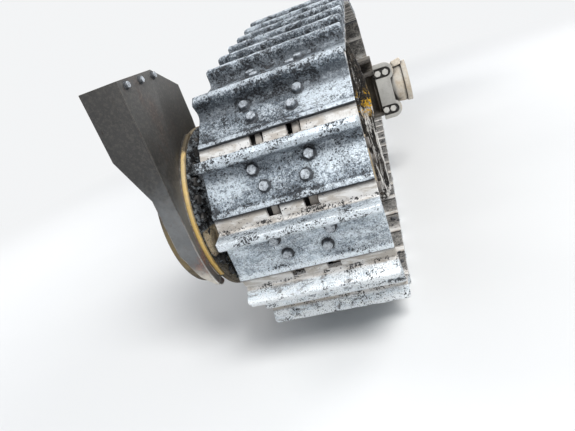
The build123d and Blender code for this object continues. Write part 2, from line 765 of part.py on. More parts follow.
def rail_distance(x, z, a, b):
    length = hypot(b[0] - a[0], b[1] - a[1])
    share = ((x - a[0]) * (b[0] - a[0]) + (z - a[1]) * (b[1] - a[1])) / length**2
    share = min(max(share, 0), 1)
    return hypot(x - a[0] - share * (b[0] - a[0]), z - a[1] - share * (b[1] - a[1]))


# Carrier rollers under the top run, each on a bracket on the frame's inboard side
SPAN_LINKS = (LINK_COUNT + 1 - len(sprocket_pins() + forward_pins(IDLER_FORWARD))) // len(TOP_SPANS)
CARRIER_PINS = {"rear": PINS[-SPAN_LINKS], "front": PINS[-2 * SPAN_LINKS]}
BRACKET_INNER = SIDE_RAIL_INNER + FIT_GAP
BRACKET_OUTER = BRACKET_INNER + CARRIER_BRACKET_WIDTH
for name, (place, _) in CARRIER_PINS.items():
    up = carrier_height(place)
    with BuildPart() as carrier_roller:
        add_turned(
            [
                (-RAIL_OUTER, 0),
                (-RAIL_OUTER, CARRIER_TREAD_RADIUS),
                (-RAIL_INNER + CARRIER_FLANGE_FOOT, CARRIER_TREAD_RADIUS),
                (-RAIL_INNER + CARRIER_FLANGE_CREST, CARRIER_FLANGE_RADIUS),
                (RAIL_INNER - CARRIER_FLANGE_CREST, CARRIER_FLANGE_RADIUS),
                (RAIL_INNER - CARRIER_FLANGE_FOOT, CARRIER_TREAD_RADIUS),
                (RAIL_OUTER, CARRIER_TREAD_RADIUS),
                (RAIL_OUTER, CARRIER_SHAFT_RADIUS),
                (BRACKET_OUTER, CARRIER_SHAFT_RADIUS),
                (BRACKET_OUTER, 0),
            ],
            place,
            up,
        )
    save(carrier_roller, f"carrier_roller_{name}")
    with BuildPart() as carrier_bracket:
        half = CARRIER_BRACKET_LENGTH / 2
        add_slab(
            [
                (place - half, FRAME_TOP),
                (place + half, FRAME_TOP),
                (place + CARRIER_NECK_HALF, up + CARRIER_NECK_HALF),
                (place - CARRIER_NECK_HALF, up + CARRIER_NECK_HALF),
            ],
            BRACKET_INNER,
            BRACKET_OUTER,
        )
        with BuildSketch(side_plane(BRACKET_OUTER)) as clamp_bore:
            with Locations((place, up)):
                Circle(CARRIER_SHAFT_RADIUS + FIT_GAP)
        extrude(amount=CARRIER_BRACKET_WIDTH, mode=Mode.SUBTRACT)
    save(carrier_bracket, f"carrier_bracket_{name}")


# Rock guards beside the rollers and short guides at both ends
def guard_outline(rear, length, top, bottom):
    front = rear + length
    return [(rear, top), (front, top), (front - GUARD_SLOPE, bottom), (rear + GUARD_SLOPE, bottom)]


GUARD_SIDES = both_sides(SIDE_RAIL_OUTER, SIDE_RAIL_OUTER + GUARD_THICKNESS)
ROLLERS_MIDDLE = (ROLLER_PLACES[0] + ROLLER_PLACES[-1]) / 2
GUARD_REAR = ROLLERS_MIDDLE - ROLLER_GUARD_LENGTH / 2
for label, (low, high) in zip(("roller_guard_inner", "roller_guard_outer"), GUARD_SIDES):
    with BuildPart() as roller_guard:
        outline = guard_outline(GUARD_REAR, ROLLER_GUARD_LENGTH, ROLLER_GUARD_TOP, ROLLER_GUARD_BOTTOM)
        add_slab(outline, low, high)
    save(roller_guard, label)

GUIDE_PLACES = {
    "chain_guides_rear": GUARD_REAR - GUIDE_GAP - GUIDE_LENGTH,
    "chain_guides_front": GUARD_REAR + ROLLER_GUARD_LENGTH + GUIDE_GAP,
}
for label, start in GUIDE_PLACES.items():
    with BuildPart() as chain_guides:
        for low, high in GUARD_SIDES:
            outline = guard_outline(start, GUIDE_LENGTH, ROLLER_GUARD_TOP, ROLLER_GUARD_BOTTOM)
            add_slab(outline, low, high)
    save(chain_guides, label)

# Arm from the frame out past the shoes, open to the rear, with the trunnion ball on its end plate
ARM_REAR = TRUNNION_FORWARD - ARM_LENGTH / 2
ARM_FRONT = TRUNNION_FORWARD + ARM_LENGTH / 2
with BuildPart() as trunnion_arm:
    add_slab(
        [
            (ARM_REAR, ARM_BOTTOM),
            (ARM_FRONT, ARM_BOTTOM),
            (ARM_FRONT, ARM_TOP),
            (ARM_REAR, ARM_TOP),
            (ARM_REAR, ARM_TOP - ARM_PLATE),
            (ARM_FRONT - ARM_WEB, ARM_TOP - ARM_PLATE),
            (ARM_FRONT - ARM_WEB, ARM_SHELF),
            (ARM_REAR, ARM_SHELF),
            (ARM_REAR, ARM_SHELF - ARM_PLATE),
            (ARM_FRONT - ARM_WEB, ARM_SHELF - ARM_PLATE),
            (ARM_FRONT - ARM_WEB, ARM_BOTTOM + ARM_PLATE),
            (ARM_REAR, ARM_BOTTOM + ARM_PLATE),
        ],
        -CAP_PLATE_INNER,
        -FRAME_HALF_WIDTH,
    )
    add_slab(
        box_points(ARM_REAR + ARM_END_REAR, ARM_FRONT, ARM_BOTTOM, ARM_END_TOP),
        -CAP_PLATE_INNER,
        -CAP_PLATE_INNER + ARM_PLATE,
    )
save(trunnion_arm, "trunnion_arm")

with BuildPart() as trunnion_ball:
    ball_plane = axle_plane(TRUNNION_FORWARD, TRUNNION_HEIGHT)
    with BuildSketch(ball_plane) as ball_half:
        with BuildLine():
            meet = (BALL_RADIUS**2 - NECK_RADIUS**2) ** 0.5
            far_end = (-BALL_OUTBOARD - BALL_RADIUS, 0)
            crown_point = (-BALL_OUTBOARD, BALL_RADIUS)
            neck_root = (-BALL_OUTBOARD + meet, NECK_RADIUS)
            ThreePointArc(far_end, crown_point, neck_root)
            Polyline(neck_root, (-CAP_PLATE_INNER, NECK_RADIUS), (-CAP_PLATE_INNER, 0), far_end)
        make_face()
    revolve(axis=cross_axis(TRUNNION_FORWARD, TRUNNION_HEIGHT))
save(trunnion_ball, "trunnion_ball")

# Space in both socket halves for the ball and its neck
SEAT_RADIUS = BALL_RADIUS + FIT_GAP
NECK_SPACE = NECK_RADIUS + NECK_RELIEF
SOCKET_INNER = CAP_PLATE_INNER + FIT_GAP


def cut_ball_seat():
    with Locations((AXLE_X + TRUNNION_FORWARD, TRACK_Y - BALL_OUTBOARD, AXLE_HEIGHT + TRUNNION_HEIGHT)):
        Sphere(SEAT_RADIUS, mode=Mode.SUBTRACT)
    with BuildSketch(side_plane(-CAP_PLATE_INNER)) as neck_hole:
        with Locations((TRUNNION_FORWARD, TRUNNION_HEIGHT)):
            Circle(NECK_SPACE)
    extrude(neck_hole.sketch, amount=BALL_OUTBOARD - CAP_PLATE_INNER, mode=Mode.SUBTRACT)


# Half of the turned housing, ahead of the ball or behind it
def add_housing_half(direction):
    profile = [(-OUTBOARD_REACH, 0), (-SOCKET_INNER, 0)] + [(-out, radius) for out, radius in HOUSING]
    with BuildSketch(axle_plane(TRUNNION_FORWARD, TRUNNION_HEIGHT)) as section:
        with BuildLine():
            polygon(profile)
        make_face()
    middle = (AXLE_X + TRUNNION_FORWARD, TRACK_Y, AXLE_HEIGHT + TRUNNION_HEIGHT)
    revolve(section.sketch, axis=Axis(middle, (0, direction, 0)), revolution_arc=180)


# Rear cap: an upright plate with a bolt lobe at each end, on half of the housing
CAP_FACE = TRUNNION_FORWARD - CAP_PLATE_REAR
PLATE_LOW = TRUNNION_HEIGHT - CAP_PLATE_DROP
PLATE_HIGH = TRUNNION_HEIGHT + CAP_PLATE_RISE
LOBE_MIDDLE = CAP_PLATE_LOBE - LOBE_RADIUS
LOBE_EXIT = (LOBE_RADIUS**2 - (CAP_PLATE_WAIST - LOBE_MIDDLE) ** 2) ** 0.5
UPPER_LOBE = PLATE_HIGH - LOBE_RADIUS
LOWER_LOBE = PLATE_LOW + LOBE_RADIUS
with BuildPart() as trunnion_cap:
    add_housing_half(-1)
    with BuildSketch(axle_plane(CAP_FACE, 0)) as cap_plate:
        with BuildLine():
            upper_exit = (-CAP_PLATE_WAIST, UPPER_LOBE - LOBE_EXIT)
            lower_exit = (-CAP_PLATE_WAIST, LOWER_LOBE + LOBE_EXIT)
            Polyline((-LOBE_MIDDLE, PLATE_LOW), (-SOCKET_INNER, PLATE_LOW), (-SOCKET_INNER, PLATE_HIGH))
            Line((-SOCKET_INNER, PLATE_HIGH), (-LOBE_MIDDLE, PLATE_HIGH))
            ThreePointArc((-LOBE_MIDDLE, PLATE_HIGH), (-CAP_PLATE_LOBE, UPPER_LOBE), upper_exit)
            Line(upper_exit, lower_exit)
            ThreePointArc(lower_exit, (-CAP_PLATE_LOBE, LOWER_LOBE), (-LOBE_MIDDLE, PLATE_LOW))
        make_face()
    extrude(amount=CAP_PLATE_THICKNESS)
    with BuildSketch(axle_plane(CAP_FACE, 0)) as pockets:
        with Locations((-POCKET_END, UPPER_LOBE), (-POCKET_END, LOWER_LOBE)):
            Circle(POCKET_RADIUS)
        pocket_length = POCKET_END - SOCKET_INNER
        pocket_middle = -SOCKET_INNER - pocket_length / 2
        with Locations((pocket_middle, UPPER_LOBE), (pocket_middle, LOWER_LOBE)):
            Rectangle(pocket_length, 2 * POCKET_RADIUS)
    extrude(amount=POCKET_DEPTH, mode=Mode.SUBTRACT)
    cut_ball_seat()
save(trunnion_cap, "trunnion_cap")

# Front half of the socket, whose front face carries the push arm
with BuildPart() as push_arm_socket:
    add_housing_half(1)
    add_slab(
        box_points(
            TRUNNION_FORWARD,
            TRUNNION_FORWARD + SOCKET_LENGTH,
            TRUNNION_HEIGHT - SOCKET_HALF_HEIGHT,
            TRUNNION_HEIGHT + SOCKET_HALF_HEIGHT,
        ),
        -HOUSING[-2][0],
        -SOCKET_INNER,
    )
    cut_ball_seat()
save(push_arm_socket, "push_arm_socket")

# Pad on the frame that the equalizer bar rests on
with BuildPart() as equalizer_pad:
    with BuildSketch(top_plane(FRAME_TOP)) as pad:
        with Locations((PAD_FORWARD, 0)):
            Rectangle(PAD_LENGTH, PAD_WIDTH)
    extrude(amount=PAD_HEIGHT)
save(equalizer_pad, "equalizer_pad")

# Diagonal brace from the frame back to the pivot beside the final drive
BOSS_OUTER = INBOARD_REACH - PIVOT_WIDTH
PIVOT_WALL_START = (PIVOT_BORE_RADIUS + PIVOT_RADIUS) / 2
with BuildPart() as diagonal_brace:
    with BuildSketch(top_plane(BRACE_BOTTOM)) as brace:
        with BuildLine():
            polygon(
                [
                    (BRACE_REAR, FRAME_HALF_WIDTH),
                    (BRACE_FRONT, FRAME_HALF_WIDTH),
                    (PIVOT_FORWARD + BRACE_WIDTH, INBOARD_REACH),
                    (PIVOT_FORWARD + PIVOT_WALL_START, INBOARD_REACH),
                    (PIVOT_FORWARD + PIVOT_WALL_START, BOSS_OUTER),
                ]
            )
        make_face()
    extrude(amount=BRACE_TOP - BRACE_BOTTOM)
    pivot_up = (BRACE_TOP + BRACE_BOTTOM) / 2
    with BuildSketch(side_plane(INBOARD_REACH)) as boss:
        with Locations((PIVOT_FORWARD, pivot_up)):
            Circle(PIVOT_RADIUS)
    extrude(amount=PIVOT_WIDTH)
    with BuildSketch(side_plane(INBOARD_REACH)) as pivot_bore:
        with Locations((PIVOT_FORWARD, pivot_up)):
            Circle(PIVOT_BORE_RADIUS)
    extrude(amount=PIVOT_WIDTH, mode=Mode.SUBTRACT)
save(diagonal_brace, "diagonal_brace")
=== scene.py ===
import itertools
import json
import math

import bmesh
import bpy
import numpy as np
from mathutils import Matrix, Vector


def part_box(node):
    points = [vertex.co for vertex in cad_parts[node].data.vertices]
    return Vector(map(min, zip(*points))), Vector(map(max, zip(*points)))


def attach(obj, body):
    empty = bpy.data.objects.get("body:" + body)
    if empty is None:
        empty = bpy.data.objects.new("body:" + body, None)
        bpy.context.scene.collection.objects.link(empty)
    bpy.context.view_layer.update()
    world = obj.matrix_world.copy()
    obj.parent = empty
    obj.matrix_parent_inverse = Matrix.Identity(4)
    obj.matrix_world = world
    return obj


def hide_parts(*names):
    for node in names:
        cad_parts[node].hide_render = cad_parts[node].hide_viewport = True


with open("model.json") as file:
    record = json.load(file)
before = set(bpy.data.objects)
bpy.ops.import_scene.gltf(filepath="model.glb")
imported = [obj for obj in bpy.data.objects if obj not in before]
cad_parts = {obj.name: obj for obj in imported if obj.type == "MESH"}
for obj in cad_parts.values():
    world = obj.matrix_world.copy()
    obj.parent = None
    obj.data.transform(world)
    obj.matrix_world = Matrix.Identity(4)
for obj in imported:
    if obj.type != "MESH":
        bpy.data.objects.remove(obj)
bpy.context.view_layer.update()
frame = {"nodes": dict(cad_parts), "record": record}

# Sizes are millimetres from the sprocket's axis and the middle of the track,
# with +X forward, +Y inboard and +Z up. Meshes are made in metres in the frame.
MM = 0.001
LINK_PITCH = 228.6
LINKS_ON_SPROCKET = 7
SPROCKET_TEETH = 25
LINK_COUNT = 41
LINK_SEAT = 76.0
LINK_RAIL = 62.0
SHOE_PLATE = 19.0
SHOE_HALF_WIDTH = 305.0
GROUSER_HEIGHT = 72.0
# Top run from the idler back: mean tilt of each span, and the tilt added by its sag, in degrees
TOP_SPANS = [(7.66, 0.3), (0.0, 1.2), (-7.66, 0.0)]
RUNNING_GAP = 0.5
IDLER_TREAD = 375.0

AXLE = Vector(next(m["pos_m"] for m in frame["record"]["mounts"] if m["name"] == "machine_flange"))
SHOE_LOW, SHOE_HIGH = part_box("track_shoes")
TRACK_MIDDLE = (SHOE_LOW.y + SHOE_HIGH.y) / 2
ORIGIN = np.array((AXLE.x, TRACK_MIDDLE, AXLE.z))


def span(node):
    """Lowest and highest corner of a node, in millimetres from the sprocket's axis."""
    low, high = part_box(node)
    return (np.array(low) - ORIGIN) / MM, (np.array(high) - ORIGIN) / MM


def middle(node):
    low, high = span(node)
    return (low + high) / 2


# Chain laid out as in the frame: round the sprocket's rear, along the ground, round the idler
HALF_TURN = 2 * math.pi / SPROCKET_TEETH
PIN_CIRCLE = LINK_PITCH / 2 / math.sin(HALF_TURN)
CHORD_RADIUS = LINK_PITCH / 2 / math.tan(HALF_TURN)
PLATE_FACE = LINK_SEAT + SHOE_PLATE
IDLER_CHORD = IDLER_TREAD + RUNNING_GAP + LINK_RAIL
IDLER_FORWARD = middle("front_idler")[0]


def chain_pins():
    last = math.pi + HALF_TURN
    angles = [last - 2 * HALF_TURN * (LINKS_ON_SPROCKET - i) for i in range(LINKS_ON_SPROCKET + 1)]
    pins = [(-PIN_CIRCLE * math.sin(a), PIN_CIRCLE * math.cos(a)) for a in angles]
    x, z = pins[-1]
    for _ in range(math.ceil((IDLER_FORWARD - x) / LINK_PITCH)):
        x += LINK_PITCH
        pins.append((x, z))
    reach = x - IDLER_FORWARD
    heading = 0.0
    while heading + 2 * math.atan(reach / IDLER_CHORD) < math.pi:
        heading += 2 * math.atan(reach / IDLER_CHORD)
        x += LINK_PITCH * math.cos(heading)
        z += LINK_PITCH * math.sin(heading)
        pins.append((x, z))
        reach = LINK_PITCH - reach
    count = LINK_COUNT + 1 - len(pins)
    tilts = []
    for i in range(count):
        share = (i + 0.5) / count * len(TOP_SPANS)
        mean, sag = TOP_SPANS[int(share)]
        tilts.append(math.radians(mean + sag * (2 * (share - int(share)) - 1)))
    along = sum(math.cos(t) for t in tilts)
    across = sum(math.sin(t) for t in tilts)
    rise = math.atan2(pins[0][1] - z, pins[0][0] - x) - math.atan2(across, along)
    for tilt in tilts[:-1]:
        x += LINK_PITCH * math.cos(rise - tilt)
        z += LINK_PITCH * math.sin(rise - tilt)
        pins.append((x, z))
    return pins


PINS = np.array(chain_pins())
AHEAD = np.roll(PINS, -1, axis=0)
LINK_MIDDLES = (PINS + AHEAD) / 2
LINK_TANGENTS = (AHEAD - PINS) / np.linalg.norm(AHEAD - PINS, axis=1)[:, None]


def on_link(number, local):
    """Points given along a link, inboard and out from its pin line, in frame directions."""
    tx, tz = LINK_TANGENTS[number]
    mx, mz = LINK_MIDDLES[number]
    s, y, out = local.T
    return np.column_stack((mx + tx * s + tz * out, y, mz + tz * s - tx * out))


# Repeatable noise

def hashed(cells, seed):
    c = cells.astype(np.int64)
    n = c[:, 0] * 73856093 ^ c[:, 1] * 19349663 ^ c[:, 2] * 83492791 ^ (seed + 1) * 668265263
    n = n & 0xFFFFFFFF
    n = ((n ^ (n >> 13)) * 1274126177) & 0xFFFFFFFF
    n = ((n ^ (n >> 16)) * 2246822519) & 0xFFFFFFFF
    n = n ^ (n >> 15)
    return n / 0x7FFFFFFF - 1


def lumps(points, size, seed=0, octaves=1):
    """Smooth noise from -1 to 1 with lumps of the given size, halved for each octave."""
    total = np.zeros(len(points))
    for octave in range(octaves):
        q = points / (size / 2**octave)
        base = np.floor(q)
        f = q - base
        f = f * f * (3 - 2 * f)
        layer = np.zeros(len(points))
        for corner in itertools.product((0, 1), repeat=3):
            weight = np.prod(np.where(corner, f, 1 - f), axis=1)
            layer += weight * hashed(base + corner, seed + octave)
        total += layer / 2**octave
    return total


def ease(value, low, high):
    t = np.clip((value - low) / (high - low), 0, 1)
    return t * t * (3 - 2 * t)


# Mesh making

class Sculpt:
    """Collects points, faces and marks for one piece."""

    def __init__(self):
        self.points = []
        self.faces = []
        self.marks = []
        self.count = 0

    def add(self, points, faces, **marks):
        points = np.asarray(points, float)
        self.points.append(points)
        for face in faces:
            self.faces.append(np.asarray(face, int) + self.count)
        self.marks.append((len(points), marks))
        self.count += len(points)

    def build(self, name, material, slot, weld=False, sharp=35, replaces=()):
        points = np.concatenate(self.points) * MM + ORIGIN
        corners = np.concatenate([f.ravel() for f in self.faces])
        sizes = np.concatenate([np.full(len(f), f.shape[1]) for f in self.faces])
        starts = np.concatenate(([0], np.cumsum(sizes)[:-1]))
        mesh = bpy.data.meshes.new(name)
        mesh.vertices.add(len(points))
        mesh.vertices.foreach_set("co", points.astype(np.float32).ravel())
        mesh.loops.add(len(corners))
        mesh.loops.foreach_set("vertex_index", corners.astype(np.int32))
        mesh.polygons.add(len(sizes))
        mesh.polygons.foreach_set("loop_start", starts.astype(np.int32))
        mesh.update(calc_edges=True)
        for mark in sorted({m for _, marks in self.marks for m in marks}):
            values = [np.broadcast_to(marks.get(mark, 0.0), count) for count, marks in self.marks]
            layer = mesh.attributes.new(mark, "FLOAT", "POINT")
            layer.data.foreach_set("value", np.concatenate(values).astype(np.float32))
        return finish_piece(name, mesh, material, weld, sharp, replaces)


def finish_piece(name, mesh, material, weld, sharp, replaces):
    work = bmesh.new()
    work.from_mesh(mesh)
    if weld:
        bmesh.ops.remove_doubles(work, verts=work.verts, dist=0.02 * MM)
        bmesh.ops.dissolve_degenerate(work, edges=work.edges, dist=0.02 * MM)
    bmesh.ops.recalc_face_normals(work, faces=work.faces)
    work.to_mesh(mesh)
    work.free()
    mesh.polygons.foreach_set("use_smooth", np.ones(len(mesh.polygons), bool))
    mesh.set_sharp_from_angle(angle=math.radians(sharp))
    mesh.materials.append(material)
    piece = bpy.data.objects.new(name, mesh)
    bpy.context.scene.collection.objects.link(piece)
    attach(piece, "root")
    if replaces:
        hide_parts(*replaces)
    return piece


def grid_faces(rows, columns, close_rows=False, close_columns=False):
    r = np.arange(rows if close_rows else rows - 1)
    c = np.arange(columns if close_columns else columns - 1)
    r, c = (a.ravel() for a in np.meshgrid(r, c, indexing="ij"))
    right, below = (c + 1) % columns, (r + 1) % rows
    return np.column_stack((r * columns + c, r * columns + right, below * columns + right, below * columns + c))


def rounded(corners, step=18):
    """Closed outline through corners (a, b, radius), each rounded by an arc."""
    points = []
    count = len(corners)
    for i in range(count):
        corner = np.array(corners[i][:2], float)
        before = np.array(corners[i - 1][:2], float) - corner
        after = np.array(corners[(i + 1) % count][:2], float) - corner
        shorter = min(np.linalg.norm(before), np.linalg.norm(after))
        before, after = before / np.linalg.norm(before), after / np.linalg.norm(after)
        half = math.acos(np.clip(before @ after, -1, 1)) / 2
        reach = min(corners[i][2] / math.tan(half), 0.48 * shorter)
        if reach < 0.01 or half > math.radians(89):
            points.append(corner)
            continue
        radius = reach * math.tan(half)
        bisector = (before + after) / np.linalg.norm(before + after)
        centre = corner + bisector * radius / math.sin(half)
        start, end = corner + before * reach - centre, corner + after * reach - centre
        a = math.atan2(start[1], start[0])
        turn = (math.atan2(end[1], end[0]) - a + math.pi) % (2 * math.pi) - math.pi
        steps = max(1, math.ceil(abs(math.degrees(turn)) / step))
        for t in np.linspace(0, 1, steps + 1):
            points.append(centre + radius * np.array((math.cos(a + turn * t), math.sin(a + turn * t))))
    return np.array(points)


def inset(outline, distance):
    """The outline moved inwards, seen as counterclockwise or clockwise alike."""
    ahead = np.roll(outline, -1, axis=0) - outline
    behind = outline - np.roll(outline, 1, axis=0)
    along = ahead / (np.linalg.norm(ahead, axis=1)[:, None] + 1e-9)
    along += behind / (np.linalg.norm(behind, axis=1)[:, None] + 1e-9)
    along /= np.linalg.norm(along, axis=1)[:, None] + 1e-9
    x, y = outline.T
    area = np.sum(x * np.roll(y, -1) - np.roll(x, -1) * y)
    normal = np.column_stack((-along[:, 1], along[:, 0])) * np.sign(area)
    return outline + normal * distance


SIDE, TOP, REAR = (0, 2, 1), (0, 1, 2), (1, 2, 0)


def add_plate(sculpt, outline, low, high, view=SIDE, edge=2.5, carry=None, **marks):
    """A plate with the given outline in one view, its rims rounded by edge."""
    outline = np.asarray(outline, float)
    rings = [
        (inset(outline, edge), low),
        (inset(outline, edge * 0.3), low + edge * 0.3),
        (outline, low + edge),
        (outline, high - edge),
        (inset(outline, edge * 0.3), high - edge * 0.3),
        (inset(outline, edge), high),
    ]
    count = len(outline)
    points = np.zeros((len(rings) * count, 3))
    for i, (ring, level) in enumerate(rings):
        block = slice(i * count, (i + 1) * count)
        points[block, view[0]], points[block, view[1]] = ring.T
        points[block, view[2]] = level
    caps = [np.arange(count)[None, ::-1], np.arange(count)[None] + (len(rings) - 1) * count]
    points = carry(points) if carry else points
    sculpt.add(points, [grid_faces(len(rings), count, close_columns=True), *caps], **marks)


def add_turned(sculpt, profile, forward, up, segments=64, inboard=0.0, start=0.0, sweep=2 * math.pi, **marks):
    """A crosswise turned form from (inboard, radius) pairs."""
    profile = np.asarray(profile, float)
    whole = sweep > 6.28
    angles = start + np.linspace(0, sweep, segments, endpoint=not whole)
    y, r = profile.T
    x = forward - np.outer(r, np.sin(angles))
    z = up + np.outer(r, np.cos(angles))
    points = np.column_stack((x.ravel(), np.repeat(y + inboard, segments), z.ravel()))
    sculpt.add(points, [grid_faces(len(profile), segments, close_columns=whole)], **marks)


def bolt_profile(flats, height):
    """Rings of a worn hexagon head, as (height, widest radius) pairs."""
    half = flats / 2
    return [(0.0, half * 1.48), (1.8, half * 1.42), (2.8, half * 1.2), (height * 0.68, half * 1.2),
            (height * 0.92, half * 1.10), (height, half * 0.95), (height * 0.97, half * 0.5), (height * 0.97, 0.0)]


def add_bolts(sculpt, places, outward, flats=34.0, height=20.0, sides=24, collar=True, **marks):
    """Hexagon heads at places, standing along the outward directions."""
    angles = np.linspace(0, 2 * math.pi, sides, endpoint=False)
    rings = bolt_profile(flats, height)
    for number, (place, out) in enumerate(zip(places, outward)):
        out = np.asarray(out, float) / np.linalg.norm(out)
        aside = np.cross(out, (0, 1, 0) if abs(out[1]) < 0.8 else (1, 0, 0))
        aside /= np.linalg.norm(aside)
        other = np.cross(out, aside)
        turn = number * 2.4
        corner = (angles + math.pi / 6) % (math.pi / 3) - math.pi / 6
        hexagon = flats / 2 / np.cos(corner)
        points, tops, sides_mark = [], [], []
        for i, (level, widest) in enumerate(rings):
            radius = np.minimum(hexagon, widest) if i > 1 else np.full(len(angles), widest)
            around = np.outer(radius * np.cos(angles + turn), aside) + np.outer(radius * np.sin(angles + turn), other)
            points.append(place + around + out * level)
            tops.append(np.full(len(angles), 1.0 if i > 3 else 0.25))
            sides_mark.append(np.full(len(angles), (1.0, 1.0, 0.9, 0.35)[i] if i < 4 else 0.0))
        first = 0 if collar else 2
        points = np.concatenate(points[first:])
        points += lumps(points, 9, number)[:, None] * out * 0.5
        sculpt.add(
            points,
            [grid_faces(len(rings) - first, sides, close_columns=True)],
            tip=np.concatenate(tops[first:]),
            halo=np.concatenate(sides_mark[first:]),
            **marks,
        )


def add_bead(sculpt, path, radius=6.0, step=5.0, closed=False, **marks):
    """A weld bead with ripples, half sunk along a path of points."""
    path = np.asarray(path, float)
    ends = np.roll(path, -1, axis=0) if closed else path[1:]
    places = []
    for a, b in zip(path if closed else path[:-1], ends):
        steps = max(1, int(np.linalg.norm(b - a) / step))
        places += [a + (b - a) * i / steps for i in range(steps)]
    if not closed:
        places.append(path[-1])
    places = np.array(places)
    along = np.gradient(places, axis=0)
    along /= np.linalg.norm(along, axis=1)[:, None] + 1e-9
    side = np.cross(along, (0.31, 0.52, 0.79))
    side /= np.linalg.norm(side, axis=1)[:, None] + 1e-9
    other = np.cross(along, side)
    ripple = radius * (1 + 0.16 * lumps(places, 7.0, 31) + 0.20 * lumps(places, 45.0, 32))
    angles = np.linspace(0, 2 * math.pi, 7, endpoint=False)
    rings = (
        places[:, None]
        + np.cos(angles)[None, :, None] * side[:, None] * ripple[:, None, None]
        + np.sin(angles)[None, :, None] * other[:, None] * ripple[:, None, None]
    )
    faces = grid_faces(len(places), len(angles), close_rows=closed, close_columns=True)
    sculpt.add(rings.reshape(-1, 3), [faces], **marks)


def ring_path(count, radius, inboard, forward=0.0, up=0.0):
    angles = np.arange(count) * 2 * math.pi / count
    return np.column_stack((forward - radius * np.sin(angles), np.full(count, inboard), up + radius * np.cos(angles)))


GOLDEN = (1 + 5**0.5) / 2
CRUMB_POINTS = np.array([(0, a, b * GOLDEN) for a in (-1, 1) for b in (-1, 1)])
CRUMB_POINTS = np.concatenate((CRUMB_POINTS, CRUMB_POINTS[:, [1, 2, 0]], CRUMB_POINTS[:, [2, 0, 1]]))
CRUMB_POINTS = CRUMB_POINTS / np.linalg.norm(CRUMB_POINTS[0])
CRUMB_FACES = np.array([
    face for face in itertools.combinations(range(12), 3)
    if all(np.linalg.norm(CRUMB_POINTS[a] - CRUMB_POINTS[b]) < 1.1 for a, b in itertools.combinations(face, 2))
])


def add_crumbs(sculpt, places, sizes, seed, flat=0.7, **marks):
    """Broken lumps of coal at places."""
    chance = np.random.default_rng(seed)
    for place, size in zip(places, sizes):
        turn = chance.normal(size=(3, 3))
        turn, _ = np.linalg.qr(turn)
        shape = CRUMB_POINTS * (1 + chance.uniform(-0.32, 0.32, (12, 1))) * chance.uniform((0.7, 0.7, 0.5), 1.0)
        shape = shape @ turn * (size, size, size * flat)
        sculpt.add(shape + place, [CRUMB_FACES], **marks)


# Materials

class Shader:
    """One material's node tree, built by short calls."""

    def __init__(self, name):
        self.material = bpy.data.materials.new(name)
        self.material.use_nodes = True
        self.nodes = self.material.node_tree.nodes
        self.links = self.material.node_tree.links
        self.nodes.clear()
        self.surface = self.nodes.new("ShaderNodeBsdfPrincipled")
        output = self.nodes.new("ShaderNodeOutputMaterial")
        self.links.new(self.surface.outputs[0], output.inputs[0])
        self.place = self.nodes.new("ShaderNodeTexCoord").outputs["Object"]

    def node(self, kind, inputs, **settings):
        made = self.nodes.new(kind)
        for key, value in settings.items():
            setattr(made, key, value)
        for key, value in inputs.items():
            if isinstance(value, bpy.types.NodeSocket):
                self.links.new(value, made.inputs[key])
            else:
                made.inputs[key].default_value = value
        return made

    def noise(self, scale, detail=4.0, rough=0.6, place=None, stretch=None, warp=0.0):
        place = place or self.place
        if stretch:
            place = self.node("ShaderNodeMapping", {"Vector": place, "Scale": stretch}).outputs[0]
        values = {"Vector": place, "Scale": scale, "Detail": detail, "Roughness": rough, "Distortion": warp}
        return self.node("ShaderNodeTexNoise", values).outputs[0]

    def cells(self, scale, place=None, feature="F1"):
        values = {"Vector": place or self.place, "Scale": scale}
        return self.node("ShaderNodeTexVoronoi", values, feature=feature).outputs["Distance"]

    def level(self, value, low, high, start=0.0, end=1.0):
        values = {"Value": value, "From Min": low, "From Max": high, "To Min": start, "To Max": end}
        return self.node("ShaderNodeMapRange", values, interpolation_type="SMOOTHSTEP").outputs[0]

    def maths(self, operation, a, b=0.0, clamp=False):
        return self.node("ShaderNodeMath", {0: a, 1: b}, operation=operation, use_clamp=clamp).outputs[0]

    def times(self, a, b):
        return self.maths("MULTIPLY", a, b, clamp=True)

    def plus(self, a, b):
        return self.maths("ADD", a, b)

    def mix(self, share, a, b):
        inputs = {0: share, 6: colour(a), 7: colour(b)}
        return self.node("ShaderNodeMix", inputs, data_type="RGBA").outputs[2]

    def blend(self, share, a, b):
        return self.node("ShaderNodeMix", {0: share, 2: a, 3: b}, data_type="FLOAT").outputs[0]

    def mark(self, name):
        return self.node("ShaderNodeAttribute", {}, attribute_name=name).outputs["Fac"]

    def hollow(self, distance):
        """1 in creases and gaps, 0 on open faces."""
        shade = self.node("ShaderNodeAmbientOcclusion", {"Distance": distance}, samples=6).outputs["AO"]
        return self.maths("SUBTRACT", 1.0, shade, clamp=True)

    def edges(self, radius):
        """1 on edges, 0 on faces."""
        soft = self.node("ShaderNodeBevel", {"Radius": radius}, samples=4).outputs[0]
        true = self.node("ShaderNodeNewGeometry", {}).outputs["Normal"]
        likeness = self.node("ShaderNodeVectorMath", {0: soft, 1: true}, operation="DOT_PRODUCT").outputs["Value"]
        return self.level(likeness, 0.995, 0.90)

    def upward(self):
        """The height part of the true normal."""
        normal = self.node("ShaderNodeNewGeometry", {}).outputs["Normal"]
        return self.node("ShaderNodeSeparateXYZ", {0: normal}).outputs[2]

    def bump(self, height, strength, distance, onto=None):
        values = {"Height": height, "Strength": strength, "Distance": distance}
        if onto:
            values["Normal"] = onto
        return self.node("ShaderNodeBump", values).outputs[0]

    def finish(self, base, rough, metal, normal):
        for key, value in {"Base Color": base, "Roughness": rough, "Metallic": metal, "Normal": normal}.items():
            if isinstance(value, bpy.types.NodeSocket):
                self.links.new(value, self.surface.inputs[key])
            else:
                self.surface.inputs[key].default_value = value
        return self.material


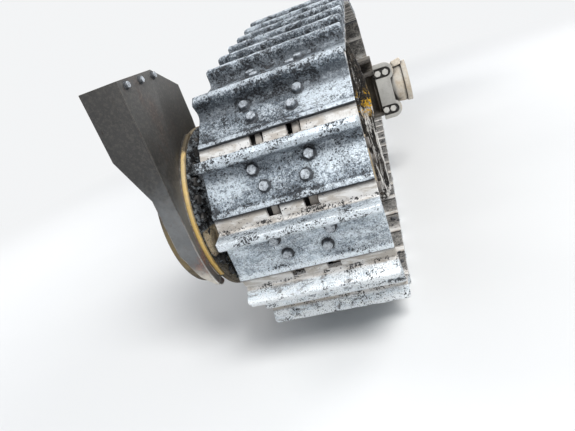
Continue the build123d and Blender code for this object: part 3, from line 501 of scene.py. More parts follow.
def colour(value):
    return (*value, 1.0) if isinstance(value, tuple) and len(value) == 3 else value


COAL = (0.012, 0.012, 0.014)
DUST = (0.50, 0.42, 0.33)
MUD = (0.10, 0.085, 0.07)
RUST = (0.20, 0.085, 0.04)
CREAM = ((0.60, 0.47, 0.31), (0.78, 0.71, 0.60))


def shoe_steel():
    sh = Shader("shoe_steel")
    local = sh.node("ShaderNodeCombineXYZ", {0: sh.mark("across"), 1: sh.mark("along"), 2: sh.mark("lift")}).outputs[0]
    fresh, tip, lip = sh.mark("fresh"), sh.mark("tip"), sh.mark("lip")
    halo, crease, polish = sh.mark("halo"), sh.mark("crease"), sh.mark("polish")
    clouds = sh.noise(7, 4, 0.55, local)
    mottle = sh.noise(55, 5, 0.7, local, warp=0.4)
    grit = sh.noise(125, 3, 0.6, local)
    grain = sh.noise(200, 2, 0.5, local)
    wipes = sh.noise(26, 6, 0.7, local, stretch=(0.35, 1.0, 1.0), warp=0.6)
    patch = sh.level(sh.noise(13, 6, 0.7, local, warp=0.7), 0.36, 0.62)
    tone = sh.plus(sh.times(clouds, 0.36), sh.plus(sh.times(mottle, 0.36), sh.times(grit, 0.28)))
    # Lower shoes drawn lighter: worn by scouring, and painted light near the ground
    tone = sh.plus(tone, sh.plus(sh.times(polish, 0.05), sh.times(fresh, 0.09)))
    base = sh.mix(sh.level(tone, 0.415, 0.645), (0.095, 0.118, 0.145), (0.45, 0.53, 0.60))
    # White on polished and worn steel, with painted glare added on the low shoes and their tips
    polish_and_glare = sh.plus(sh.times(wipes, 0.30), sh.plus(sh.times(mottle, 0.26), sh.plus(sh.times(grit, 0.28), sh.times(clouds, 0.16))))
    polish_and_glare = sh.plus(polish_and_glare, sh.plus(sh.times(fresh, 0.050), sh.plus(sh.times(tip, 0.074), sh.times(polish, 0.120))))
    polish_and_glare = sh.plus(polish_and_glare, sh.plus(sh.times(sh.times(tip, fresh), 0.125), sh.times(sh.maths("POWER", fresh, 3.0), 0.065)))
    white = sh.level(polish_and_glare, 0.53, 0.625)
    base = sh.mix(sh.times(white, 0.90), base, sh.mix(sh.times(tip, fresh), (0.70, 0.78, 0.835), (0.83, 0.88, 0.915)))
    low = sh.maths("SUBTRACT", 1.0, fresh)
    # Painted shade on the high shoes: shaded grows as a shoe sits higher, and darkens all but polished faces and tips
    shaded = sh.maths("POWER", low, 4.0)
    top_run_shade = sh.times(shaded, sh.maths("SUBTRACT", 1.0, sh.plus(sh.times(polish, 0.95), sh.times(tip, 0.75)), clamp=True))
    base = sh.mix(top_run_shade, base, (0.042, 0.051, 0.062))
    base = sh.mix(sh.times(shaded, sh.level(polish_and_glare, 0.512, 0.575, 0.0, 0.85)), base, (0.58, 0.63, 0.68))
    # Wiped patches on the low shoes: scouring, with painted glare
    scour_glare = sh.maths("POWER", fresh, 3.0)
    base = sh.mix(sh.times(scour_glare, sh.level(wipes, 0.40, 0.56, 0.15, 0.75)), base, (0.86, 0.88, 0.88))
    base = sh.mix(sh.times(scour_glare, sh.level(wipes, 0.43, 0.36, 0.0, 0.70)), base, (0.24, 0.215, 0.19))
    flecks = sh.noise(88, 4, 0.75, local, warp=0.3)
    low = sh.times(low, sh.maths("SUBTRACT", 1.0, sh.times(tip, 0.65)))
    base = sh.mix(sh.times(low, sh.level(flecks, 0.548, 0.590, 0.0, 0.55)), base, (0.66, 0.72, 0.77))
    base = sh.mix(sh.times(low, sh.level(flecks, 0.470, 0.430, 0.0, 0.80)), base, (0.022, 0.027, 0.032))
    base = sh.mix(sh.level(grain, 0.56, 0.66, 0.0, 0.55), base, (0.80, 0.86, 0.90))
    base = sh.mix(sh.level(grain, 0.44, 0.34, 0.0, 0.50), base, (0.05, 0.06, 0.07))
    dusty = sh.times(lip, sh.level(mottle, 0.28, 0.40))
    sand = sh.mix(sh.level(wipes, 0.40, 0.60), (0.50, 0.455, 0.40), (0.77, 0.755, 0.725))
    base = sh.mix(dusty, base, sand)
    # Underside behind the front lip drawn grey-brown: caked dirt, and painted shade under the plate
    dirt_and_shade = sh.mix(sh.level(mottle, 0.38, 0.60), (0.06, 0.055, 0.05), (0.36, 0.335, 0.30))
    base = sh.mix(sh.times(sh.mark("under"), 0.9), base, dirt_and_shade)
    # Painted shadow on the plate at each grouser's root, deepest on the high shoes
    base = sh.mix(sh.times(crease, sh.plus(sh.times(shaded, 0.85), 0.12)), base, (0.115, 0.128, 0.142))
    # Dark ring round each bolt: coal dirt, with painted shadow at the head's foot
    ringed = sh.times(halo, sh.level(sh.plus(grit, sh.times(halo, 0.30)), 0.45, 0.70))
    base = sh.mix(sh.times(ringed, 0.88), base, (0.030, 0.032, 0.036))
    foul = sh.plus(sh.times(patch, 0.17), sh.plus(sh.times(low, 0.03), sh.times(halo, 0.10)))
    foul = sh.plus(foul, sh.times(sh.mark("edge"), 0.10))
    foul = sh.maths("SUBTRACT", foul, sh.plus(sh.times(polish, 0.10), sh.times(sh.mark("clean"), 0.10)))
    foul = sh.maths("SUBTRACT", foul, sh.times(scour_glare, 0.028))
    bent = sh.node("ShaderNodeVectorMath", {0: local, 1: sh.times(grain, 0.012)}, operation="ADD").outputs[0]
    pits = sh.maths("SUBTRACT", sh.level(sh.plus(foul, sh.times(mottle, 0.5)), 0.22, 0.50, 0.10, 0.47), sh.cells(105, bent))
    black = sh.plus(sh.times(mottle, 0.28), sh.plus(sh.times(grit, 0.40), sh.times(grain, 0.32)))
    smears = sh.level(sh.plus(black, sh.times(foul, 0.8)), 0.632, 0.664)
    smears = sh.times(smears, sh.maths("SUBTRACT", 1.0, polish, clamp=True))
    coal_and_lip_shade = sh.maths("MAXIMUM", sh.level(pits, -0.01, 0.05), smears)
    # Painted shadow, black, under each trailing lip's end and at the front lip's end, joined to the coal specks
    coal_and_lip_shade = sh.maths("MAXIMUM", coal_and_lip_shade, sh.mark("gap"))
    base = sh.mix(sh.times(coal_and_lip_shade, 0.93), base, COAL)
    rough = sh.blend(sh.maths("MAXIMUM", coal_and_lip_shade, dusty), sh.level(white, 0.0, 1.0, 0.54, 0.40), 0.92)
    metal = sh.maths("SUBTRACT", 0.50, sh.plus(sh.times(coal_and_lip_shade, 0.5), sh.times(dusty, 0.5)), clamp=True)
    height = sh.plus(sh.times(coal_and_lip_shade, 0.6), sh.plus(sh.times(mottle, 0.4), sh.plus(sh.times(grit, 0.8), sh.times(grain, 0.5))))
    return sh.finish(base, rough, metal, sh.bump(height, 0.8, 0.0030))


def bolt_steel():
    sh = Shader("bolt_steel")
    tip, halo, grime = sh.mark("tip"), sh.mark("halo"), sh.mark("grime")
    grain = sh.noise(380, 4, 0.75)
    blotch = sh.noise(90, 5, 0.7)
    base = sh.mix(sh.level(blotch, 0.38, 0.62), (0.13, 0.14, 0.155), (0.36, 0.40, 0.44))
    worn = sh.times(tip, sh.level(sh.plus(sh.times(grain, 0.6), sh.times(blotch, 0.4)), 0.43, 0.55))
    base = sh.mix(sh.times(worn, 0.8), base, (0.62, 0.66, 0.70))
    grime = sh.times(grime, sh.maths("SUBTRACT", 0.62, sh.times(tip, 0.48)))
    base = sh.mix(grime, base, sh.mix(sh.level(blotch, 0.40, 0.62), (0.09, 0.09, 0.09), (0.27, 0.275, 0.28)))
    dirt = sh.maths("MAXIMUM", sh.times(halo, sh.level(blotch, 0.32, 0.50)), sh.level(grain, 0.60, 0.65))
    base = sh.mix(sh.times(dirt, 0.9), base, COAL)
    rough = sh.blend(dirt, 0.48, 0.92)
    metal = sh.blend(dirt, 0.6, 0.0)
    return sh.finish(base, rough, metal, sh.bump(sh.plus(grain, sh.times(blotch, 0.6)), 0.6, 0.0015))


def caked_steel(name, bare, dark, worn, dirt_amount, wear_radius=0.004, glow=0.5):
    """Steel under coal and grease, rubbed bright on its edges."""
    sh = Shader(name)
    rubbed = sh.mark("rubbed")
    blotch = sh.noise(11, 6, 0.65)
    grit = sh.noise(70, 6, 0.75)
    grain = sh.noise(360, 4, 0.7)
    base = sh.mix(sh.level(blotch, 0.35, 0.65), dark, bare)
    edge = sh.times(sh.maths("MAXIMUM", sh.edges(wear_radius), sh.mark("rims")), sh.level(grit, 0.38, 0.6))
    shine = sh.maths("MAXIMUM", edge, sh.times(rubbed, sh.level(grit, 0.30, 0.46)))
    dust = sh.times(sh.level(sh.upward(), 0.1, 0.8), sh.level(grit, 0.30, 0.55))
    base = sh.mix(sh.times(dust, 0.55), base, (0.16, 0.145, 0.125))
    base = sh.mix(sh.times(shine, glow + 0.4), base, worn)
    dirt_and_shade = sh.maths("MAXIMUM", sh.level(sh.hollow(0.06), 0.25, 0.8), sh.level(blotch, 0.72 - dirt_amount, 0.8 - dirt_amount))
    dirt_and_shade = sh.times(dirt_and_shade, sh.level(grit, 0.25, 0.5))
    dirt_and_shade = sh.times(dirt_and_shade, sh.maths("SUBTRACT", 1.0, sh.times(rubbed, 0.85)))
    base = sh.mix(sh.times(dirt_and_shade, 0.85), base, (0.03, 0.028, 0.026))
    rough = sh.blend(dirt_and_shade, sh.blend(shine, 0.62, 0.28), 0.93)
    metal = sh.times(sh.maths("SUBTRACT", 1.0, dirt_and_shade), sh.blend(shine, 0.35, 0.95))
    height = sh.plus(sh.times(grit, 0.7), sh.times(grain, 0.25))
    normal = sh.bump(height, 0.6, 0.003)
    return sh.finish(base, rough, metal, normal)


def bright_steel():
    sh = Shader("bright_steel")
    turning = sh.noise(40, 3, 0.5, stretch=(1.0, 30.0, 1.0))
    blotch = sh.noise(24, 5, 0.7)
    base = sh.mix(sh.level(blotch, 0.35, 0.7), (0.42, 0.42, 0.43), (0.66, 0.66, 0.67))
    grease = sh.times(sh.level(blotch, 0.52, 0.66), 0.8)
    base = sh.mix(grease, base, (0.05, 0.042, 0.035))
    rough = sh.blend(grease, sh.level(turning, 0.3, 0.7, 0.22, 0.38), 0.5)
    return sh.finish(base, rough, sh.blend(grease, 0.95, 0.1), sh.bump(turning, 0.15, 0.0008))


def painted(
    name, paint, faded, dirt, chips, stain=0.0, dust=(0.20, 0.18, 0.155), grime_and_shade_above=None, crevice=0.0,
    worn=(0.30, 0.29, 0.285), mud=None, warm_from=None, scuffed=None,
):
    """Sprayed steel with chipped edges, rust, dust on top faces and coal dirt in hollows, with painted shade in
    crevices and, when heights are given, towards the top.
    """
    sh = Shader(name)
    clouds = sh.noise(3.2, 6, 0.62)
    blotch = sh.noise(13, 6, 0.7, warp=0.4)
    grit = sh.noise(85, 6, 0.75)
    grain = sh.noise(380, 3, 0.7)
    runs = sh.noise(9, 5, 0.7, stretch=(1.0, 1.0, 0.22))
    scratch = sh.noise(60, 4, 0.6, stretch=(1.0, 0.35, 0.08), warp=1.2)
    base = sh.mix(sh.level(clouds, 0.38, 0.66), paint, faded)
    if warm_from:
        inboard = sh.node("ShaderNodeSeparateXYZ", {0: sh.place}).outputs[1]
        cream = sh.mix(sh.level(blotch, 0.36, 0.62), *CREAM)
        base = sh.mix(sh.level(inboard, warm_from, warm_from - 0.022, 0.0, 0.85), base, cream)
    base = sh.mix(sh.times(sh.level(runs, 0.5, 0.72), 0.35), base, MUD)
    base = sh.mix(sh.level(grain, 0.35, 0.65, 0.0, 0.22), base, faded)
    base = sh.mix(sh.level(grit, 0.50, 0.62, 0.0, 0.45 * min(1.0, 0.3 + dirt)), base, MUD)
    edge = sh.times(sh.maths("MAXIMUM", sh.edges(0.008), sh.mark("rims")), sh.level(blotch, 0.34, 0.50))
    bare = sh.maths("MAXIMUM", sh.times(edge, chips), sh.level(grit, 0.80 - 0.14 * chips, 0.84 - 0.14 * chips))
    bare = sh.maths("MAXIMUM", bare, sh.times(sh.level(scratch, 0.66, 0.70), chips * 0.8))
    rim = sh.level(sh.noise(31, 5, 0.7), 0.48, 0.62)
    metal_colour = sh.mix(rim, worn, RUST)
    base = sh.mix(bare, base, metal_colour)
    if stain:
        red = sh.times(sh.level(sh.noise(5, 6, 0.75, stretch=(1.0, 1.0, 0.5)), 0.50, 0.64), stain)
        base = sh.mix(red, base, sh.mix(sh.level(grit, 0.42, 0.58), (0.12, 0.06, 0.045), (0.31, 0.16, 0.115)))
    dusty = sh.times(sh.level(sh.upward(), -0.1, 0.9), sh.level(blotch, 0.28, 0.6))
    base = sh.mix(sh.times(dusty, min(1.0, 0.35 + dirt)), base, dust)
    dirt_and_shade = sh.maths("MAXIMUM", sh.level(sh.hollow(0.08), 0.30, 0.85), sh.level(clouds, 0.78 - 0.36 * dirt, 0.88 - 0.36 * dirt))
    dirt_and_shade = sh.times(dirt_and_shade, sh.level(grit, 0.22, 0.5))
    # Painted shade in crevices, within crevice metres of a wall
    if crevice:
        dirt_and_shade = sh.maths("MAXIMUM", dirt_and_shade, sh.level(sh.hollow(crevice), 0.22, 0.40))
    if mud:
        up = sh.node("ShaderNodeSeparateXYZ", {0: sh.place}).outputs[2]
        splashed = sh.level(sh.plus(up, sh.times(sh.maths("SUBTRACT", blotch, 0.5), 0.7)), mud[0], mud[1])
        dirt_and_shade = sh.maths("MAXIMUM", dirt_and_shade, sh.times(splashed, sh.level(grit, 0.30, 0.46)))
    dirt_shade_tone = sh.mix(sh.level(grit, 0.40, 0.62), (0.030, 0.027, 0.025), (0.11, 0.10, 0.088))
    base = sh.mix(sh.times(dirt_and_shade, 0.85), base, dirt_shade_tone)
    # Darker towards the top between the two heights: painted shadow under the machine body, and grime
    if grime_and_shade_above:
        up = sh.node("ShaderNodeSeparateXYZ", {0: sh.place}).outputs[2]
        black = sh.level(sh.plus(up, sh.times(blotch, 0.3)), grime_and_shade_above[0], grime_and_shade_above[1], 0.0, 0.88)
        base = sh.mix(black, base, sh.mix(sh.level(grit, 0.45, 0.66), (0.018, 0.016, 0.014), (0.055, 0.050, 0.043)))
    if scuffed:
        under = sh.times(sh.level(sh.upward(), -0.20, -0.40), sh.level(blotch, 0.30, 0.50, 0.35, 0.95))
        base = sh.mix(under, base, scuffed)
    rough = sh.blend(sh.maths("MAXIMUM", dirt_and_shade, dusty), sh.level(clouds, 0.3, 0.7, 0.42, 0.58), 0.9)
    height = sh.plus(sh.times(dirt_and_shade, 0.6), sh.plus(sh.times(grit, 0.35), sh.times(bare, -0.3)))
    normal = sh.bump(sh.plus(height, sh.times(grain, 0.2)), 0.45, 0.0025)
    return sh.finish(base, rough, sh.times(bare, 0.55), normal)


def packed_dirt():
    sh = Shader("packed_dirt")
    clay = sh.mark("clay")
    clods = sh.noise(38, 7, 0.75)
    grit = sh.noise(190, 5, 0.8)
    base = sh.mix(sh.level(clods, 0.46, 0.60), (0.010, 0.010, 0.011), (0.40, 0.44, 0.47))
    chips = sh.level(sh.cells(120), 0.26, 0.14)
    base = sh.mix(sh.times(chips, sh.level(grit, 0.4, 0.6)), base, (0.27, 0.28, 0.28))
    bent = sh.node("ShaderNodeVectorMath", {0: sh.place, 1: clods}, operation="ADD").outputs[0]
    cracks = sh.level(sh.cells(26, bent, feature="DISTANCE_TO_EDGE"), 0.0, 0.07)
    base = sh.mix(sh.level(cracks, 0.9, 0.2, 0.0, 0.9), base, (0.006, 0.006, 0.007))
    tan = sh.mix(sh.level(grit, 0.38, 0.62), (0.72, 0.53, 0.31), (0.97, 0.84, 0.60))
    tan = sh.mix(cracks, (0.06, 0.04, 0.025), tan)
    base = sh.mix(sh.times(sh.level(clay, 0.15, 0.45), sh.level(clods, 0.2, 0.36)), base, tan)
    sandy = sh.times(sh.mark("sand"), sh.level(clods, 0.32, 0.44))
    base = sh.mix(sandy, base, sh.mix(sh.level(grit, 0.4, 0.6), (0.26, 0.21, 0.15), (0.58, 0.52, 0.42)))
    height = sh.plus(clods, sh.plus(sh.times(grit, 0.5), sh.times(cracks, 1.2)))
    return sh.finish(base, 0.92, 0.0, sh.bump(height, 1.0, 0.012))


def crusted_mud():
    """Old mud on the track frame, with pale streaks and bits of paint in it."""
    sh = Shader("crusted_mud")
    clods = sh.noise(34, 7, 0.78)
    grit = sh.noise(190, 5, 0.8)
    streaks = sh.noise(64, 7, 0.75, stretch=(1.0, 1.0, 0.10), warp=0.35)
    base = sh.mix(sh.level(clods, 0.42, 0.66), (0.010, 0.009, 0.008), (0.085, 0.070, 0.055))
    bright = sh.plus(sh.plus(sh.times(streaks, 0.70), sh.times(grit, 0.30)), sh.times(sh.mark("pale"), 0.100))
    pale = sh.level(bright, 0.572, 0.604)
    base = sh.mix(sh.times(pale, 0.97), base, (0.84, 0.82, 0.78))
    cracks = sh.level(sh.plus(sh.times(streaks, 0.6), sh.times(clods, 0.4)), 0.480, 0.440)
    base = sh.mix(sh.maths("MAXIMUM", cracks, sh.level(grit, 0.55, 0.61)), base, (0.008, 0.007, 0.007))
    paint = sh.times(sh.mark("paint"), sh.level(sh.noise(34, 5, 0.75, warp=0.8), 0.51, 0.55))
    base = sh.mix(paint, base, (0.78, 0.44, 0.02))
    height = sh.plus(clods, sh.plus(sh.times(grit, 0.5), sh.times(streaks, 0.9)))
    return sh.finish(base, 0.93, 0.0, sh.bump(height, 1.0, 0.009))


def loose_coal():
    sh = Shader("loose_coal")
    grit = sh.noise(120, 5, 0.75)
    base = sh.mix(sh.level(grit, 0.40, 0.62), (0.010, 0.010, 0.011), (0.085, 0.087, 0.092))
    rough = sh.level(grit, 0.35, 0.65, 0.42, 0.85)
    return sh.finish(base, rough, 0.0, sh.bump(grit, 0.6, 0.003))


SHOE = shoe_steel()
BOLT = bolt_steel()
CHAIN = caked_steel("chain_steel", (0.20, 0.19, 0.18), (0.07, 0.065, 0.06), (0.58, 0.58, 0.60), 0.22)
CAST = caked_steel("cast_steel", (0.24, 0.225, 0.21), (0.10, 0.09, 0.08), (0.60, 0.60, 0.61), 0.16)
BRIGHT = bright_steel()
PAINT = painted("machine_paint", (0.36, 0.25, 0.075), (0.26, 0.205, 0.12), 0.62, 0.8, mud=(0.70, 0.38), crevice=0.03)
# Guard paint, darkened towards the top as painted shadow under the machine body
WORN = painted(
    "worn_paint", (0.118, 0.125, 0.130), (0.212, 0.216, 0.214), 0.30, 1.0,
    stain=0.85, grime_and_shade_above=(0.88, 1.12), worn=(0.46, 0.43, 0.39), scuffed=(0.68, 0.63, 0.54),
)
# Pale edge paint standing for worn edges and a painted highlight, faded towards the top by painted shadow
WORN_HIGHLIT_EDGE = painted(
    "worn_highlit_edge", (0.36, 0.345, 0.325), (0.60, 0.58, 0.54), 0.05, 0.6,
    grime_and_shade_above=(0.66, 1.02), scuffed=(0.90, 0.88, 0.83),
)
RIM = painted(
    "rim_paint", (0.82, 0.53, 0.13), (0.88, 0.66, 0.30), 0.08, 0.6,
    dust=(0.54, 0.44, 0.29), crevice=0.01, grime_and_shade_above=(1.07, 1.13),
)
# Cap paint; its crevice term paints shade deep in the bolt pockets
CAP = painted(
    "cap_paint", (0.44, 0.435, 0.41), (0.52, 0.51, 0.475), 0.10, 0.4,
    dust=(0.45, 0.425, 0.385), crevice=0.045, warm_from=TRACK_MIDDLE - 474 * MM,
)
SOCKET = painted(
    "socket_paint", *CREAM, 0.10, 0.6, stain=0.20, dust=(0.60, 0.53, 0.43), crevice=0.03, worn=(0.42, 0.25, 0.11),
)
CAP_BOLT = painted("cap_bolt_paint", (0.56, 0.55, 0.52), (0.66, 0.645, 0.60), 0.0, 0.2, dust=(0.50, 0.47, 0.42))
ARM = painted("greasy_paint", (0.10, 0.085, 0.055), (0.055, 0.048, 0.040), 0.95, 0.6, dust=(0.12, 0.105, 0.085), crevice=0.05)
DIRT = packed_dirt()
MUD_CRUST = crusted_mud()
LOOSE = loose_coal()
NOSE = painted("dusty_nose", (0.50, 0.43, 0.36), (0.66, 0.62, 0.56), 0.05, 0.2, dust=(0.60, 0.54, 0.47))
GRIMY = caked_steel("grimy_steel", (0.16, 0.155, 0.15), (0.055, 0.052, 0.050), (0.38, 0.38, 0.39), 0.30)

# Shoe section: position along the shoe, height over its plate face, corner radius
SHOE_SECTION = [
    (-162, -14, 3), (-122, -5, 16), (-103.5, -3, 7), (-99, 69.5, 8), (-76, 72, 6), (-61, 56, 10),
    (-57, 0, 26), (84, 0, 14), (97, 8, 8), (113, 8, 5), (117.5, 2, 3), (116, -3, 2),
    (74, -9, 12), (54, -19, 6), (-70, -19, 10), (-105, -22, 12), (-160, -27, 3),
]
# Rubbed patches: shoe, place along and inboard, half length, half width, strength
POLISHED = [
    (0, 15, -235, 70, 90, 0.8), (1, 36, -200, 66, 135, 1.25), (1, 62, 190, 26, 120, 0.25), (1, 22, 20, 34, 62, 0.5),
    (2, 10, 235, 62, 78, 0.85), (2, 20, -200, 66, 120, 0.75), (2, 40, 30, 40, 80, 0.45), (3, -20, -270, 30, 34, 0.5),
    (3, -25, 265, 40, 50, 0.4), (4, 20, 0, 90, 330, 0.5), (5, 20, 0, 90, 330, 0.6), (6, 20, 0, 90, 330, 0.6),
]
# Shoes whose plates hold little coal
SWEPT = {3: 0.75}
# Shoes whose grouser tips are more fouled than the rest
FOULED_TIPS = {2: 0.9}
BOLT_PLACES = [(-29.8, 108.1), (-29.8, -108.1), (38.5, 78.8), (38.5, -78.8)]
NOTCH = (44.5, 99.5)
NOTCH_DEPTH = -117.0
REAR_SHOES = [0, 1, 2, 3, 4, 5, 6, 7, 40]


def scour_light_level(number):
    """How much a shoe is worn by scouring and drawn in light: least on the top run, most near the ground at the rear.
    Besides real scouring it paints shade on the high shoes and glare on the low ones.
    """
    mx, mz = LINK_MIDDLES[number]
    return float(np.clip(0.62 - mz / 620, 0.12, 1.0))


def shoe_columns(fine):
    step = 8.5 if fine else 26.0
    columns = list(np.arange(-SHOE_HALF_WIDTH + 12, SHOE_HALF_WIDTH - 11, step))
    columns += [side * (SHOE_HALF_WIDTH - d) for side in (-1, 1) for d in (0, 0.8, 2.5, 6)]
    for side in (-1, 1):
        columns += [side * (NOTCH[0] - 1.5), side * NOTCH[0], side * (NOTCH[0] + 1.5)]
        columns += [side * (NOTCH[1] - 1.5), side * NOTCH[1], side * (NOTCH[1] + 1.5)]
    return np.array(sorted(columns))


def add_shoe(sculpt, number, fine):
    section = rounded(SHOE_SECTION, 16 if fine else 34)
    if fine:
        section = thickened(section, 12.0)
    columns = shoe_columns(fine)
    rows = []
    for y in columns:
        away = SHOE_HALF_WIDTH - abs(y)
        ring = inset(section, 2.5 - math.sqrt(max(0, 2.5**2 - (2.5 - away) ** 2))) if away < 2.5 else section.copy()
        corner = 22.0 if number % 3 else 15.0
        if away < corner:
            top = GROUSER_HEIGHT + 1 - corner + math.sqrt(corner**2 - (corner - away) ** 2)
            ring[:, 1] = np.where(ring[:, 0] < -50, np.minimum(ring[:, 1], top), ring[:, 1])
        if away < 9:
            reach = 118 - 9 + math.sqrt(81 - (9 - away) ** 2)
            ring[:, 0] = np.minimum(ring[:, 0], reach)
        if NOTCH[0] < abs(y) < NOTCH[1]:
            cut = ring[:, 0] < NOTCH_DEPTH
            ring[cut, 1] = np.clip(ring[cut, 1], -22, -5)
            ring[cut, 0] = NOTCH_DEPTH
        rows.append(np.column_stack((ring[:, 0], np.full(len(ring), y), ring[:, 1])))
    local = np.concatenate(rows)
    s, y, h = local.T
    offset = np.array((number * 731.0, 0, 0))
    wear = lumps(local + offset, 34, 3, 2)
    nicks = np.clip(lumps(local * (1, 0.6, 1) + offset, 12, 9) - 0.35, 0, 1)
    shy = max(0.0, 1 - 3 * scour_light_level(number))
    tipness = ease(h, 38 + 38 * shy, 66 + 6 * shy) * (s < -55)
    strip = ease(s, 86, 100) * (h > -1)
    h = h - tipness * (1.6 + 1.8 * wear + 5.0 * nicks) + (h > -2) * (h < 30) * 0.7 * wear
    h = h - strip * (0.6 * wear + 2.2 * nicks)
    s = s - strip * np.clip(1.5 * wear + 3.0 * nicks, 0, 9) * ease(s, 110, 117)
    shaped = np.column_stack((s, y, PLATE_FACE + h))
    away = np.min([np.hypot(s - bs, y - by) for bs, by in BOLT_PLACES], axis=0)
    upper = (h > -4) & (h < 30)
    count, ring = len(columns), len(section)
    caps = [np.arange(ring)[None, ::-1], np.arange(ring)[None] + (count - 1) * ring]
    polish = np.zeros(len(s))
    for shoe, ps, py, long, wide, strength in POLISHED:
        if shoe == number:
            spot = np.exp(-((((s - ps) / long) ** 2 + ((y - py) / wide) ** 2) ** 2))
            polish = np.maximum(polish, strength * spot * upper)
    sculpt.add(
        on_link(number, shaped),
        [grid_faces(count, ring, close_columns=True), *caps],
        polish=polish,
        along=s * MM,
        across=y * MM,
        lift=h * MM + number * 0.37,
        fresh=scour_light_level(number),
        tip=np.maximum(tipness, strip * (0.75 + 0.5 * shy)),
        lip=(s < -101) * (h < 8) * 1.0 + ease(s, -100, -104) * ease(h, 24, 6) * 0.6,
        edge=np.exp(-(((s + 112) / 9) ** 2)) * (h < 10) + np.exp(-(((s - 90) / 7) ** 2)) * (h > -2),
        halo=np.exp(-((away / 28) ** 4)) * upper,
        under=(h < -8) * ease(s, -112, -100),
        clean=(s < -106) * (h < 8) * (0.4 + 0.6 * ease(s, -112, -122)) + SWEPT.get(number, 0.0) * upper * (s > -60)
        - FOULED_TIPS.get(number, 0.0) * tipness,
        # Painted shadow in the joints between shoes
        gap=(s > 111) * (h < 6.5) * 1.0 + (h > -20) * ease(s, -146, -153),
        # Painted shadow at the root of the grouser
        crease=ease(s, 2, -34) * (h < 40) * (h > -6) * (s > -64),
    )


def thickened(outline, longest):
    """The outline with extra points on its long straight stretches."""
    points = []
    for a, b in zip(outline, np.roll(outline, -1, axis=0)):
        pieces = max(1, math.ceil(np.linalg.norm(b - a) / longest))
        points += [a + (b - a) * i / pieces for i in range(pieces)]
    return np.array(points)


def make_shoes():
    rear, others = Sculpt(), Sculpt()
    for number in range(LINK_COUNT):
        fine = number in REAR_SHOES
        add_shoe(rear if fine else others, number, fine)
    rear.build("shoes_rear", SHOE, "shoe_steel", replaces=["track_shoes"])
    others.build("shoes_ahead", SHOE, "shoe_steel", replaces=["track_shoes"])


# Ends of the links that show through the notches in the shoes' front lips
NOSE_OUTLINE = [(-163, 60, 3), (-163, 84, 3), (-98, 89, 4), (-98, 56, 4)]
NOSE_SHIFT = -3.5


def make_link_noses():
    noses = Sculpt()
    for number in REAR_SHOES:
        for side in (1, -1):
            outline = rounded([(s, side * y + NOSE_SHIFT, r) for s, y, r in NOSE_OUTLINE], 30)
            add_plate(noses, outline, LINK_SEAT - 40, PLATE_FACE - 28, TOP, 4, lambda p, n=number: on_link(n, p))
    noses.build("link_noses", NOSE, "chain_steel")


def make_shoe_bolts():
    bolts = Sculpt()
    for number in range(LINK_COUNT):
        local = np.array([(s, y, PLATE_FACE - 0.5) for s, y in BOLT_PLACES])
        tx, tz = LINK_TANGENTS[number]
        sides = 24 if number in REAR_SHOES else 12
        grime = float(ease(scour_light_level(number), 0.4, 0.65))
        add_bolts(bolts, on_link(number, local), [(tz, 0, -tx)] * len(local), sides=sides, grime=grime)
    bolts.build("shoe_bolts", BOLT, "shoe_steel")


# Links: two rows, each link's rear end lapping inside the one behind it
LINK_BOSS = 50.0
PIN_REACH = LINK_PITCH / 2
LINK_STATIONS = [-164, -161, -152, -138, -118, -100, -86, -72, -60, -50, -25,
                 0, 25, 50, 60, 72, 86, 100, 118, 138, 152, 161, 164]


def link_half(s):
    """Lower and upper edge, and inner and outer face, of a link at a station."""
    near = np.maximum(LINK_BOSS**2 - (np.abs(s) - PIN_REACH) ** 2, 0) ** 0.5
    past = np.abs(s) > PIN_REACH
    shoulder = ease(np.abs(s), 92, 60)
    top = np.where(past, near, np.maximum(near, 50) + (LINK_SEAT - 50) * shoulder)
    low = np.where(past, -near * LINK_RAIL / LINK_BOSS, -LINK_RAIL)
    lap = ease(s, -80, -52)
    lead = ease(s, 52, 80)
    inner = 58 + 8 * lap + 22 * lead
    outer = 86 + 28 * lap + 2 * lead
    return low, top, inner, outer


def link_mesh():
    shares = np.array([0, 0.045, 0.18, 0.26, 0.5, 0.74, 0.82, 0.955, 1.0])
    rows, rubbed = [], []
    for s in np.array(LINK_STATIONS, float):
        low, top, inner, outer = (float(v) for v in link_half(s))
        height = low + (top - low) * shares
        edge = 3.5 * np.clip(1 - np.minimum(shares, 1 - shares) / 0.045, 0, 1)
        dish = 10 * ease(abs(s), 60, 50) * ease(shares, 0.18, 0.24) * ease(shares, 0.82, 0.76)
        outside = np.column_stack((np.full(len(shares), s), outer - edge - dish, height))
        inside = np.column_stack((np.full(len(shares), s), inner + edge + dish, height))
        rows.append(np.concatenate((outside, inside[::-1])))
        rubbed.append(np.concatenate((shares < 0.03, shares[::-1] < 0.03)) * 1.0)
    ring = 2 * len(shares)
    return np.concatenate(rows), grid_faces(len(rows), ring, close_columns=True), np.concatenate(rubbed)


def make_links():
    points, faces, rubbed = link_mesh()
    links = Sculpt()
    for number in range(LINK_COUNT):
        for side in (1, -1):
            worn = points + lumps(points + (number * 517, side * 91, 0), 26, 5)[:, None] * 0.8
            links.add(on_link(number, worn * (1, side, 1)), [faces], rubbed=rubbed)
    links.build("links", CHAIN, "chain_steel", weld=True, replaces=["track_chain"])


